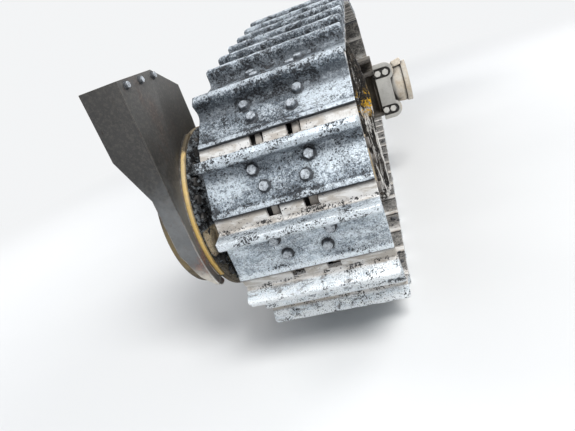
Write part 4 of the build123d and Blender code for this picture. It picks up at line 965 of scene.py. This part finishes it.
def make_pins():
    pins, bushings = Sculpt(), Sculpt()
    end = [(112, 31), (117.5, 31), (119, 29.5), (119, 24.5), (117, 23.5), (117, 21), (120.5, 19.5), (121, 17), (119, 6), (119, 0)]
    for x, z in PINS:
        for side in (1, -1):
            add_turned(pins, [(side * y, r) for y, r in end], x, z, 20)
        bushing = [(-58, 20), (-58, 30), (-55, 33), (-36, 33), (-30, 32.4), (30, 32.4), (36, 33), (55, 33), (58, 30), (58, 20)]
        add_turned(bushings, bushing, x, z, 24, rubbed=np.repeat([0, 0, 0, 0, 1, 1, 0, 0, 0, 0], 24))
    pins.build("pin_ends", CHAIN, "chain_steel", weld=True)
    bushings.build("bushings", CHAIN, "chain_steel", weld=True)


# Machine side
def around(angle, radius):
    return -radius * math.sin(angle), radius * math.cos(angle)


def ring_of(count, radius, inboard, forward=0.0, up=0.0, start=0.0):
    angles = start + np.arange(count) * 2 * math.pi / count
    return np.column_stack((forward - radius * np.sin(angles), np.full(count, inboard), up + radius * np.cos(angles)))


def softened(node, width, material, name=None, segments=2, sharp=28, nose=None):
    """A copy of a node with its sharp edges rounded, and more so at the nose, which stands for it."""
    name = name or f"{node}.worn"
    mesh = frame["nodes"][node].data.copy()
    mesh.name = name
    mesh.materials.clear()
    work = bmesh.new()
    work.from_mesh(mesh)
    rims = work.faces.layers.float.new("rims")
    bmesh.ops.remove_doubles(work, verts=work.verts, dist=1e-6)
    bmesh.ops.dissolve_limit(work, angle_limit=math.radians(0.5), verts=work.verts, edges=work.edges)
    if nose:
        place = ORIGIN + np.array((nose[0], 0, nose[1])) * MM
        ends = [e for e in work.edges
                if all(math.hypot(v.co.x - place[0], v.co.z - place[2]) < 3 * MM for v in e.verts)]
        bmesh.ops.bevel(work, geom=ends, offset=nose[2] * MM, segments=6, profile=0.5, affect="EDGES", clamp_overlap=True)
    sharp_edges = [e for e in work.edges if e.is_manifold and e.calc_face_angle(0) > math.radians(sharp)]
    made = bmesh.ops.bevel(work, geom=sharp_edges, offset=width * MM, segments=segments, profile=0.5,
                           affect="EDGES", clamp_overlap=True)
    for face in made["faces"]:
        face[rims] = 1.0
    work.to_mesh(mesh)
    work.free()
    return finish_piece(name, mesh, material, False, 32, [node])


SOFT_NODES = {
    "drive_sprocket": (3, CAST, "cast_steel"),
    "sprocket_hub": (3, PAINT, "machine_paint"),
    "final_drive_cover": (5, PAINT, "machine_paint"),
    "final_drive_case": (4, PAINT, "machine_paint"),
    "final_drive_guard": (3, WORN, "worn_paint"),
    "guard_rim": (2.5, RIM, "rim_paint"),
    "idler_shaft": (3, BRIGHT, "bright_steel"),
    "idler_block_inner": (4, PAINT, "machine_paint"),
    "idler_block_outer": (4, PAINT, "machine_paint"),
    "idler_yoke": (5, PAINT, "machine_paint"),
    "recoil_housing": (4, PAINT, "machine_paint"),
    "track_frame": (6, PAINT, "machine_paint"),
    "adjuster_cover": (2, PAINT, "machine_paint"),
    "roller_collars_inner": (4, CAST, "cast_steel"),
    "roller_collars_outer": (4, CAST, "cast_steel"),
    "carrier_bracket_rear": (3, PAINT, "machine_paint"),
    "carrier_bracket_front": (3, PAINT, "machine_paint"),
    "roller_guard_inner": (2.5, PAINT, "machine_paint"),
    "roller_guard_outer": (2.5, PAINT, "machine_paint"),
    "chain_guides_rear": (2.5, PAINT, "machine_paint"),
    "chain_guides_front": (2.5, PAINT, "machine_paint"),
    "trunnion_arm": (5, ARM, "machine_paint"),
    "trunnion_ball": (3, BRIGHT, "bright_steel"),
    "trunnion_cap": (4, CAP, "cap_paint"),
    "push_arm_socket": (5, SOCKET, "cap_paint"),
    "equalizer_pad": (5, CAST, "cast_steel"),
    "diagonal_brace": (6, PAINT, "machine_paint"),
}
ROLLERS = [f"track_roller_{i}" for i in range(1, 8)]
GUARD_RADIUS = 445.0
GUARD_END = math.radians(120)
NOSE_RADIUS = 14.0
GUARD_NOSE = (-GUARD_RADIUS * math.sin(GUARD_END), GUARD_RADIUS * math.cos(GUARD_END), NOSE_RADIUS)

# Half sections of the turned pieces: inboard, radius, corner radius
ROLLER_HALF = [
    (185, 0, 0), (185, 38, 4), (128, 38, 3), (128, 100, 6), (128, 120, 8), (122, 143, 5), (118, 120, 4), (66, 120, 3),
    (50, 98, 9),
]
CARRIER_SECTION = [
    (174.2, 0, 0), (174.2, 34, 3), (116, 34, 3), (116, 70, 4), (112, 74, 4), (112, 86, 4), (116, 92, 3), (114, 95, 3),
    (66, 95, 3), (62, 112, 5), (-62, 112, 5), (-66, 95, 3), (-114, 95, 3), (-116, 92, 3), (-112, 86, 4), (-112, 74, 4),
    (-116, 66, 6), (-116, 0, 0),
]
IDLER_HALF = [
    (114, 50, 0), (114, 104, 6), (108, 112, 5), (30, 122, 20), (24, 150, 18), (24, 300, 24), (60, 335, 20), (112, 341, 5),
    (116, 346, 4), (116, 375, 5), (63.5, 375, 3), (58, 397, 5),
]


def make_carried_over():
    for node, (width, material, slot) in SOFT_NODES.items():
        softened(node, width, material, nose=GUARD_NOSE if node == "final_drive_guard" else None)
    mirrored = [(-y, r, corner) for y, r, corner in reversed(ROLLER_HALF)]
    for node in ROLLERS:
        make_roller(node, ROLLER_HALF + mirrored, 98, (64, 130, 118))
    for node in ("carrier_roller_rear", "carrier_roller_front"):
        make_roller(node, CARRIER_SECTION, 64, (64, 115, 94))
    mirrored = [(-y, r, corner) for y, r, corner in reversed(IDLER_HALF)]
    make_roller("front_idler", IDLER_HALF + mirrored, 128, (56, 117, 372))


def make_roller(node, section, segments, tread):
    """A turned piece whose tread, between two distances inboard and over a radius, is rubbed."""
    piece = Sculpt()
    profile = rounded(section, 24)
    y, r = profile.T
    rubbed = ((np.abs(y) > tread[0]) & (np.abs(y) < tread[1]) & (r > tread[2])) * 1.0
    place = middle(node)
    if node == "front_idler":
        profile = np.vstack((profile, profile[:1]))
        rubbed = np.append(rubbed, rubbed[0])
    add_turned(piece, profile, place[0], place[2], segments, rubbed=np.repeat(rubbed, segments))
    piece.build(f"{node}.worn", CAST, "cast_steel", weld=True, replaces=[node])


# Ring of the final drive: bolts and the dirt packed round them
RING_FACE = 452.0
RING_BOLT_CIRCLE = 360.0

# Packed dirt from the ring down the case: inboard, radius, depth of the lumps
PACKED = [
    (454, 395, 0), (451, 393, 1), (446, 388, 4), (443, 378, 7), (441, 366, 9), (440, 352, 10), (438, 338, 11),
    (434, 325, 12), (427, 314, 13), (415, 306, 13), (398, 298, 13), (380, 291, 13), (360, 284, 13), (340, 277, 12),
    (320, 270, 12), (300, 263, 11), (280, 256, 9), (262, 249, 6), (250, 242, 2), (246, 236, 0),
]


def make_ring_bolts():
    bolts = Sculpt()
    places = ring_of(30, RING_BOLT_CIRCLE, RING_FACE, start=math.radians(4))
    add_bolts(bolts, places, [(0, -1, 0)] * len(places), flats=38, height=29)
    bolts.build("ring_bolts", GRIMY, "machine_paint")


def make_packed_dirt():
    dirt = Sculpt()
    segments = 420
    angles = np.linspace(0, 2 * math.pi, segments, endpoint=False)
    y, radius, depth = (np.repeat(column, segments) for column in np.array(PACKED, float).T)
    turn = np.degrees(np.tile(angles, len(PACKED)))
    points = np.column_stack((-radius * np.sin(np.radians(turn)), y, radius * np.cos(np.radians(turn))))
    swell = depth * (0.75 + 0.8 * lumps(points, 62, 21, 2) + 0.5 * lumps(points, 17, 22, 2))
    clay = np.exp(-(((turn - 94) / 9) ** 4)) * ease(radius, 292, 310) * ease(radius, 396, 388)
    sand = np.exp(-(((turn - 128) / 18) ** 4)) * ease(radius, 280, 300)
    swell = np.maximum(swell + 13 * clay - depth * 0.8 * sand, 0)
    outward = ease(radius, 300, 340)
    points[:, 1] -= swell * outward
    points[:, 0] -= np.sin(np.radians(turn)) * swell * (1 - outward)
    points[:, 2] += np.cos(np.radians(turn)) * swell * (1 - outward)
    dirt.add(points, [grid_faces(len(PACKED), segments, close_columns=True)], clay=clay, sand=sand)
    dirt.build("packed_dirt", DIRT, "machine_paint", sharp=80)
    chance = np.random.default_rng(19)
    turn = chance.uniform(0, 360, 520)
    turn = np.radians(turn[abs(turn - 95) > 12])
    radius = chance.uniform(316, 386, len(turn))
    table = np.array(PACKED, float)[::-1]
    face = np.interp(radius, table[:, 1], table[:, 0]) - 8
    clods = Sculpt()
    places = np.column_stack((-radius * np.sin(turn), face, radius * np.cos(turn)))
    add_crumbs(clods, places, chance.gamma(3.0, 2.4, len(turn)) + 4, 20)
    clods.build("ring_clods", DIRT, "machine_paint", sharp=25)


# Upright strip beside the track frame, caked in mud: height, outboard edge, half thickness
UPRIGHT = [
    (-476, 240, 70), (-462, 272, 62), (-445, 288, 46), (-427, 298, 30), (-380, 300, 19), (-291, 302, 15),
    (-126, 301, 14), (35, 312, 14), (89, 315, 15), (135, 320, 15), (172, 319, 14), (221, 315, 14), (267, 316, 14),
    (351, 304, 13), (387, 297, 14), (463, 284, 13), (500, 268, 13), (506, 262, 8),
]
UPRIGHT_FORWARD = 705.0
UPRIGHT_INSIDE = 160.0


def make_upright():
    strip = Sculpt()
    table = np.array(UPRIGHT, float)
    levels = np.concatenate((np.arange(-476, 506, 7.0), [506.0]))
    reach = np.interp(levels, table[:, 0], table[:, 1])
    half = np.interp(levels, table[:, 0], table[:, 2])
    turn = np.linspace(0, 2 * math.pi, 130, endpoint=False)
    across, along = np.cos(turn), np.sin(turn)
    across, along = np.sign(across) * np.abs(across) ** 0.55, np.sign(along) * np.abs(along) ** 0.30
    middle_y = -(reach + UPRIGHT_INSIDE) / 2
    y = middle_y[:, None] - (reach - UPRIGHT_INSIDE)[:, None] / 2 * across
    x = UPRIGHT_FORWARD + half[:, None] * along
    z = np.repeat(levels, len(turn))
    points = np.column_stack((x.ravel(), y.ravel(), z))
    crust = 4.5 * lumps(points, 60, 41, 2) + 3.5 * lumps(points * (1, 1, 0.3), 15, 42, 2)
    points[:, 0] += np.where(np.tile(along, len(levels)) > 0, 1, -1) * np.maximum(crust, -3) * ease(np.abs(np.tile(along, len(levels))), 0.3, 0.9)
    points[:, 1] -= np.tile(across, len(levels)) * np.minimum(crust, 3) * 0.8
    outer = ease(-points[:, 1], 200, 285)
    paint = np.exp(-(((z - 135) / 75) ** 4)) * ease(-points[:, 1], 225, 270)
    pale = outer * ease(z, 150, 90) * 0.6 + 0.25 * outer
    ends = [np.arange(len(turn))[None, ::-1], np.arange(len(turn))[None] + (len(levels) - 1) * len(turn)]
    faces = [grid_faces(len(levels), len(turn), close_columns=True), *ends]
    strip.add(points, faces, paint=paint, pale=pale)
    root = rounded([(680, -158, 2), (730, -158, 2), (730, -240, 4), (680, -240, 4)], 30)
    for z in (-60, 90):
        add_plate(strip, root, z, z + 16, TOP, 2.5, paint=0.35, pale=0.3)
    strip.build("caked_upright", MUD_CRUST, "machine_paint", sharp=60)


# Bolts, plugs and ribs of the final drive
def make_drive_details():
    bolts = Sculpt()
    cover_low, cover_high = span("final_drive_cover")
    hub_face = cover_high[1]
    places = ring_of(24, 322, hub_face - 0.5, start=math.radians(7.5))
    add_bolts(bolts, places, [(0, -1, 0)] * len(places), flats=36, height=24, sides=18)
    places = ring_of(18, 234, hub_face - COVER_RIM_DEPTH - 0.5)
    add_bolts(bolts, places, [(0, -1, 0)] * len(places), flats=27, height=17, sides=18)
    places = ring_of(3, 118, cover_low[1] - 5, start=math.radians(20))
    add_bolts(bolts, places, [(0, -1, 0)] * len(places), flats=46, height=20, sides=18)
    sprocket_inside = span("drive_sprocket")[1][1]
    places = ring_of(24, 385, sprocket_inside - 0.5, start=math.radians(7.5))
    add_bolts(bolts, places, [(0, 1, 0)] * len(places), flats=32, height=20, sides=12)
    case_high = span("final_drive_case")[1]
    places = ring_of(24, 327, case_high[1] - MACHINE_FLANGE_THICKNESS + 0.5)
    add_bolts(bolts, places, [(0, -1, 0)] * len(places), flats=24, height=16, sides=12)
    bolts.build("drive_bolts", CAST, "machine_paint")
    trim = Sculpt()
    crown = cover_low[1]
    add_turned(trim, [(crown + 1, 88), (crown - 3, 86), (crown - 4, 60), (crown - 4, 22), (crown - 7, 18), (crown - 7, 0)], 0, 0, 72)
    for x, _, z in ring_of(3, 118, crown, start=math.radians(20)):
        add_turned(trim, [(crown + 1, 36), (crown - 4, 35), (crown - 6, 31), (crown - 6, 0)], x, z, 36)
    for angle in np.arange(12) * math.pi / 6 + 0.26:
        ax, az = -math.sin(angle), math.cos(angle)
        rib = rounded([(300, 476, 2), (352, 476, 10), (318, 560, 16), (300, 560, 2)], 30)
        turned = lambda p, ax=ax, az=az: np.column_stack((ax * p[:, 0] + az * p[:, 2], p[:, 1], az * p[:, 0] - ax * p[:, 2]))
        add_plate(trim, rib, -8, 8, TOP, 2.5, turned)
    trim.build("drive_trim", PAINT, "machine_paint")


COVER_RIM_DEPTH = 60.0
MACHINE_FLANGE_THICKNESS = 40.0


def make_guard_details():
    bolts, beads = Sculpt(), Sculpt()
    low, high = span("final_drive_guard")
    face = low[1]
    places = np.array([(x, face, 676) for x in (-150, -270, -390)], float)
    add_bolts(bolts, places, [(0, -1, 0)] * len(places), flats=24, height=14, sides=18, grime=1.0)
    bolts.build("guard_bolts", BOLT, "worn_paint")
    corner = [(low[0] + 17, face + 17, z) for z in np.arange(high[2] - 8, 0, -12)]
    corner += [(-(428) * math.sin(a), face + 17, 428 * math.cos(a)) for a in np.radians(np.arange(90, 118, 1.6))]
    add_bead(beads, corner, 7)
    rim = span("guard_rim")
    arc = [(-406.5 * math.sin(a), rim[1][1] - 1, 406.5 * math.cos(a)) for a in np.radians(np.arange(13, 118, 1.2))]
    add_bead(beads, arc, 3.0, 4.0)
    beads.build("guard_welds", WORN, "worn_paint")
    # Pale bead along the guard's folded corner and lower end: worn edge and painted highlight
    corner = [(low[0] + 1.8, face + 1.8, z) for z in np.arange(high[2] - 30, 0, -10)]
    corner += [(-443.2 * math.sin(a), face + 1.8, 443.2 * math.cos(a)) for a in np.radians(np.arange(90, 118, 1.4))]
    start = GUARD_END - NOSE_RADIUS / GUARD_RADIUS
    out, on = np.array((-math.sin(start), math.cos(start))), np.array((-math.cos(start), -math.sin(start)))
    for t in np.radians(np.arange(0, 91, 15)):
        x, z = out * (GUARD_RADIUS - NOSE_RADIUS) + (out * math.cos(t) + on * math.sin(t)) * (NOSE_RADIUS - 1.8)
        corner.append((x, face + 1.8, z))
    x, z = corner[-1][0], corner[-1][2]
    corner += [(x - out[0] * d, face + 1.8, z - out[1] * d) for d in (12, 24, 36, 48)]
    worn = Sculpt()
    add_bead(worn, corner, 3.4, 4.0)
    polar = [(443, 116.0), (443, 117.5)]
    polar += [(400 + 43 * math.cos(t), 119 + 7 * math.sin(t)) for t in np.radians(np.arange(0, 91, 10))]
    polar += [(400, a) for a in np.arange(124.0, 115, -2.0)]
    tongue = Sculpt()
    outline = np.array([(-r * math.sin(math.radians(a)), r * math.cos(math.radians(a))) for r, a in polar])
    add_plate(tongue, outline, face + 0.6, face + 15, edge=3)
    tongue.build("guard_tongue", WORN, "worn_paint")
    lower = [(x, face + 3, z) for x, z in inset(outline, 1.5) if math.hypot(x, z) > 406 and z < -214]
    add_bead(worn, lower, 3.2, 4.0)
    worn.build("guard_worn_highlit_edge", WORN_HIGHLIT_EDGE, "worn_paint")


# Bolts and welds of the frame, the rollers and the idler
def make_frame_details():
    bolts, beads, trim = Sculpt(), Sculpt(), Sculpt()
    rollers = [middle(node)[0] for node in ROLLERS]
    for node, side in (("roller_collars_inner", 1), ("roller_collars_outer", -1)):
        low, high = span(node)
        y = (low[1] + high[1]) / 2
        under = [(x + dx, y, low[2] + 0.5) for x in rollers for dx in (-44, 44)]
        add_bolts(bolts, np.array(under), [(0, 0, -1)] * len(under), flats=30, height=17, sides=12)
        face = side * 185.0
        for x in rollers:
            add_turned(trim, [(face - side, 31), (face + side * 5, 30), (face + side * 6, 26), (face + side * 6, 0)], x, middle(ROLLERS[0])[2], 28)
    for node, side in (("roller_guard_inner", 1), ("roller_guard_outer", -1)):
        low, high = span(node)
        face = high[1] if side > 0 else low[1]
        row = [(x, face, high[2] - 34) for x in np.linspace(low[0] + 90, high[0] - 90, 8)]
        add_bolts(bolts, np.array(row), [(0, side, 0)] * len(row), flats=36, height=22, sides=18)
    for node in ("chain_guides_rear", "chain_guides_front"):
        low, high = span(node)
        for side, face in ((1, high[1]), (-1, low[1])):
            row = [(x, face, high[2] - 34) for x in (low[0] + 70, high[0] - 70)]
            add_bolts(bolts, np.array(row), [(0, side, 0)] * len(row), flats=36, height=22, sides=18)
    for node, side in (("idler_block_inner", 1), ("idler_block_outer", -1)):
        low, high = span(node)
        face = high[1] if side > 0 else low[1]
        place = middle(node)
        row = [(x, face, z) for x in (low[0] + 26, high[0] - 26) for z in (low[2] + 26, high[2] - 26)]
        add_bolts(bolts, np.array(row), [(0, side, 0)] * len(row), flats=30, height=18, sides=18)
        shaft = middle("idler_shaft")
        add_turned(trim, [(face - side, 66), (face + side * 9, 65), (face + side * 11, 62), (face + side * 11, 0)], shaft[0], shaft[2], 48)
        row = ring_of(3, 40, face + side * 11, shaft[0], shaft[2])
        add_bolts(bolts, row, [(0, side, 0)] * 3, flats=22, height=12, sides=12)
    low, high = span("recoil_housing")
    collar = span("track_frame")
    flange = RECOIL_FLANGE_FRONT
    centre = middle("recoil_housing")
    angles = np.arange(12) * math.pi / 6
    row = np.column_stack((np.full(12, flange), centre[1] + 112 * np.cos(angles), centre[2] + 112 * np.sin(angles)))
    add_bolts(bolts, row, [(1, 0, 0)] * 12, flats=24, height=15, sides=12)
    low, high = span("adjuster_cover")
    row = [(x, y, high[2]) for x in (low[0] + 22, high[0] - 22) for y in (low[1] + 22, 0, high[1] - 22)]
    add_bolts(bolts, np.array(row), [(0, 0, 1)] * 6, flats=24, height=14, sides=12)
    for node in ("carrier_bracket_rear", "carrier_bracket_front"):
        low, high = span(node)
        x = middle(node)[0]
        row = [(x + dx, high[1], high[2] - dz) for dx in (-46, 46) for dz in (26, 110)]
        add_bolts(bolts, np.array(row), [(0, 1, 0)] * 4, flats=27, height=16, sides=18)
        y = low[1] - 2
        add_bead(beads, [(low[0], y, low[2] + 1), (high[0], y, low[2] + 1)], 7)
        add_bead(beads, [(low[0], 165, low[2] + 2), (high[0], 165, low[2] + 2)], 6)
        up = middle(node.replace("bracket", "roller"))[2]
        add_turned(trim, [(-115, 46), (-121, 45), (-123, 41), (-123, 16), (-127, 14), (-127, 0)], x, up, 32)
    bolts.build("frame_bolts", CAST, "machine_paint")
    make_frame_welds(beads)
    beads.build("frame_welds", PAINT, "machine_paint")
    trim.build("frame_trim", CAST, "cast_steel")


RECOIL_FLANGE_FRONT = 2510.0


def make_frame_welds(beads):
    low, high = span("track_frame")
    half, bottom, rear, front = 165.5, -98.0, low[0], 2300.0
    for side in (1, -1):
        y = side * half
        add_bead(beads, [(rear + 2, y, bottom + 2), (front, y, bottom + 2)], 8)
        add_bead(beads, [(rear + 62, y, high[2] - 11), (front - 262, y, high[2] - 11), (front - 3, y, high[2] - 82)], 5.5)
        add_bead(beads, [(rear - 1, y - side * 10, bottom), (rear - 1, y - side * 10, high[2] - 76)], 5.5)
        for x in (rear + 420, front - 520):
            add_bead(beads, [(x, y, bottom + 8), (x, y, high[2] - 14)], 4.5)
    low, high = span("equalizer_pad")
    base = low[2] + 1
    add_bead(beads, [(low[0], low[1], base), (high[0], low[1], base), (high[0], high[1], base), (low[0], high[1], base)], 7, closed=True)
    angles = np.linspace(0, 2 * math.pi, 60, endpoint=False)
    centre = middle("recoil_housing")
    ring = np.column_stack((np.full(60, front + 1), centre[1] + 118 * np.cos(angles), centre[2] + 118 * np.sin(angles)))
    add_bead(beads, ring, 7, closed=True)
    low, high = span("diagonal_brace")
    foot = 165.5
    add_bead(beads, [(960, foot, -92), (1330, foot, -92), (1330, foot, 34), (960, foot, 34)], 8, closed=True)
    low, high = span("trunnion_arm")
    y = -165.5
    for z in (low[2] + 20, low[2]):
        add_bead(beads, [(low[0], y, z), (high[0] - 60, y, z)], 6)
    add_bead(beads, [(high[0], y, low[2]), (high[0], y, 140)], 8)
    low_y = low[1]
    for z, zz in ((high[2] - 20, -1), (212, 1)):
        add_bead(beads, [(high[0] - 61, y - 10, z + zz), (high[0] - 61, low_y + 12, z + zz)], 6)


# Trunnion: bolts in the cap's pockets, welds and the ear on the socket
CAP_BOLTS = [(-389, 192), (-438, 191), (-387, -55), (-433, -56)]
CAP_POCKETS = (193.0, -58.0)
CAP_FACE = 1167.0
POCKET_DEPTH = 12.0


def make_trunnion_details():
    bolts, trim = Sculpt(), Sculpt()
    places = np.array([(CAP_FACE + POCKET_DEPTH, y, z) for y, z in CAP_BOLTS], float)
    add_bolts(bolts, places, [(-1, 0, 0)] * 4, flats=37, height=15, sides=24, collar=False)
    bolts.build("cap_bolts", CAP_BOLT, "cap_paint")
    # Dark sheet on each pocket's floor: grime, and painted shade in the recess
    grease = Sculpt()
    for z in CAP_POCKETS:
        pocket = [(-368, z - 31, 0), (-471, z - 31, 31), (-471, z + 31, 31), (-368, z + 31, 0)]
        add_plate(grease, rounded(pocket, 15), CAP_FACE + POCKET_DEPTH - 1.5, CAP_FACE + POCKET_DEPTH + 1, REAR, 0.5)
    grease.build("pocket_grime_and_shade", GRIMY, "cap_paint")
    low, high = span("push_arm_socket")
    ear = rounded([(-484, 196, 8), (-547, 204, 8), (-549, 243, 7), (-487, 231, 7)], 24)
    add_plate(trim, ear, 1212, 1262, REAR, 3)
    ear = rounded([(-470, -28, 8), (-545, -40, 8), (-545, -8, 7), (-470, 4, 7)], 24)
    add_plate(trim, ear, 1216, 1262, REAR, 3)
    trim.build("socket_trim", SOCKET, "cap_paint")
    bead = Sculpt()
    x = high[0] - 12
    for z in (low[2] + 16, high[2] - 16):
        add_bead(bead, [(x, -368, z), (x, -543, z)], 5)
    bead.build("socket_welds", SOCKET, "cap_paint")


# Coal lying on the track, the frame and the guards
def make_loose_coal():
    chance = np.random.default_rng(7)
    coal = Sculpt()
    for number in range(LINK_COUNT):
        tx, tz = LINK_TANGENTS[number]
        lying = -tx
        count = 0 if lying < 0.9 else 120 if number in REAR_SHOES else 46
        if lying < -0.9:
            s = chance.uniform(-90, 105, 26)
            y = chance.uniform(125, 300, 26) * chance.choice((-1, 1), 26)
            places = on_link(number, np.column_stack((s, y, np.full(26, LINK_SEAT - 1.0))))
            add_crumbs(coal, places, chance.gamma(2.2, 4.0, 26) + 3, number)
        if not count:
            continue
        s = np.where(chance.random(count) < 0.6, -54 + chance.exponential(13, count), chance.uniform(-54, 82, count))
        y = chance.uniform(-296, 296, count)
        keep = s < 82
        places = on_link(number, np.column_stack((s, y, np.full(count, PLATE_FACE + 0.5))))[keep]
        add_crumbs(coal, places, (chance.gamma(2.0, 1.7, count) + 1.6)[keep], number)
    low, high = span("track_frame")
    count = 420
    x = chance.uniform(low[0] + 70, 2030, count)
    y = chance.uniform(-160, 160, count)
    add_crumbs(coal, np.column_stack((x, y, np.full(count, high[2]))), chance.gamma(2.2, 4.0, count) + 3, 91)
    for side in (1, -1):
        x = chance.uniform(low[0] + 20, 3300, 260)
        y = side * chance.uniform(168, 184, 260)
        x = x[(x < 2290) | (x > 2900)]
        add_crumbs(coal, np.column_stack((x, y[: len(x)], np.full(len(x), -98.0))), chance.gamma(2.0, 2.6, len(x)) + 2, 92)
    coal.build("loose_coal", LOOSE, "chain_steel", sharp=20)


make_shoes()
make_shoe_bolts()
make_links()
make_pins()
make_carried_over()
make_link_noses()
make_ring_bolts()
make_packed_dirt()
make_upright()
make_drive_details()
make_guard_details()
make_frame_details()
make_trunnion_details()
make_loose_coal()


# Floor, light and camera
BACKGROUND = (0.90, 0.91, 0.92)


def make_floor():
    """A pale floor, lit near the unit and as bright as the background far from it."""
    sh = Shader("floor")
    tone = sh.noise(0.8, 3, 0.5)
    base = sh.mix(tone, (0.70, 0.70, 0.69), (0.74, 0.74, 0.73))
    sh.finish(base, 0.85, 0.0, sh.bump(sh.noise(60), 0.05, 0.002))
    away = sh.node("ShaderNodeVectorMath", {0: sh.place}, operation="LENGTH").outputs["Value"]
    camera = sh.node("ShaderNodeLightPath", {}).outputs["Is Camera Ray"]
    share = sh.times(sh.level(away, 2.6, 6.0), camera)
    glow = sh.node("ShaderNodeEmission", {"Color": (*BACKGROUND, 1.0), "Strength": 1.0}).outputs[0]
    mixed = sh.node("ShaderNodeMixShader", {0: share, 1: sh.surface.outputs[0], 2: glow}).outputs[0]
    output = next(n for n in sh.nodes if n.bl_idname == "ShaderNodeOutputMaterial")
    sh.links.new(mixed, output.inputs[0])
    bpy.ops.mesh.primitive_plane_add(size=60, location=(0, 0, 0))
    floor = bpy.context.object
    floor.name = "floor"
    floor.data.materials.append(sh.material)


def make_world():
    world = bpy.data.worlds.new("studio")
    bpy.context.scene.world = world
    world.use_nodes = True
    nodes, links = world.node_tree.nodes, world.node_tree.links
    nodes.clear()
    path = nodes.new("ShaderNodeLightPath")
    seen = None
    for name in ("Is Camera Ray", "Is Glossy Ray", "Is Transmission Ray"):
        if seen is None:
            seen = path.outputs[name]
            continue
        both = nodes.new("ShaderNodeMath")
        both.operation = "MAXIMUM"
        links.new(seen, both.inputs[0])
        links.new(path.outputs[name], both.inputs[1])
        seen = both.outputs[0]
    lit, shown, mix = nodes.new("ShaderNodeBackground"), nodes.new("ShaderNodeBackground"), nodes.new("ShaderNodeMixShader")
    lit.inputs["Color"].default_value = (0.78, 0.84, 0.95, 1)
    lit.inputs["Strength"].default_value = 0.42
    shown.inputs["Color"].default_value = (*BACKGROUND, 1)
    shown.inputs["Strength"].default_value = 1.0
    links.new(seen, mix.inputs[0])
    links.new(lit.outputs[0], mix.inputs[1])
    links.new(shown.outputs[0], mix.inputs[2])
    links.new(mix.outputs[0], nodes.new("ShaderNodeOutputWorld").inputs[0])


def add_lamp(name, place, target, size, power):
    lamp = bpy.data.lights.new(name, "AREA")
    lamp.shape = "DISK"
    lamp.size = size
    lamp.energy = power
    holder = bpy.data.objects.new(name, lamp)
    bpy.context.scene.collection.objects.link(holder)
    holder.location = place
    holder.rotation_euler = (Vector(target) - Vector(place)).to_track_quat("-Z", "Y").to_euler()


# The photo's camera: place like every other size here, angles in degrees
CAMERA_PLACE = (-2007.4, -408.9, 677.0)
CAMERA_HEADING = 16.57
CAMERA_PITCH = -21.43
CAMERA_ROLL = 20.70
CAMERA_LENS = 28.58


def make_camera():
    heading, pitch, roll = (math.radians(v) for v in (CAMERA_HEADING, CAMERA_PITCH, CAMERA_ROLL))
    forward = Vector((math.cos(pitch) * math.cos(heading), math.cos(pitch) * math.sin(heading), math.sin(pitch)))
    level = Vector((math.sin(heading), -math.cos(heading), 0))
    above = level.cross(forward)
    right = level * math.cos(roll) - above * math.sin(roll)
    up = right.cross(forward)
    turn = Matrix((right, up, -forward)).transposed()
    camera = bpy.data.cameras.new("camera")
    camera.lens = CAMERA_LENS
    camera.sensor_width = 36
    camera.clip_start = 0.01
    holder = bpy.data.objects.new("camera", camera)
    bpy.context.scene.collection.objects.link(holder)
    holder.matrix_world = Matrix.Translation(ORIGIN + np.array(CAMERA_PLACE) * MM) @ turn.to_4x4()
    bpy.context.scene.camera = holder


make_floor()
make_world()
add_lamp("key", (-4.5, -2.5, 6.0), (-1.0, 0.0, 0.6), 3.0, 420)
add_lamp("fill", (3.0, -5.0, 4.0), (0.0, 0.0, 0.5), 4.0, 260)
add_lamp("back", (0.5, 5.5, 4.5), (0.0, 0.0, 0.5), 4.0, 240)
make_camera()
bpy.context.scene.view_settings.view_transform = "Standard"
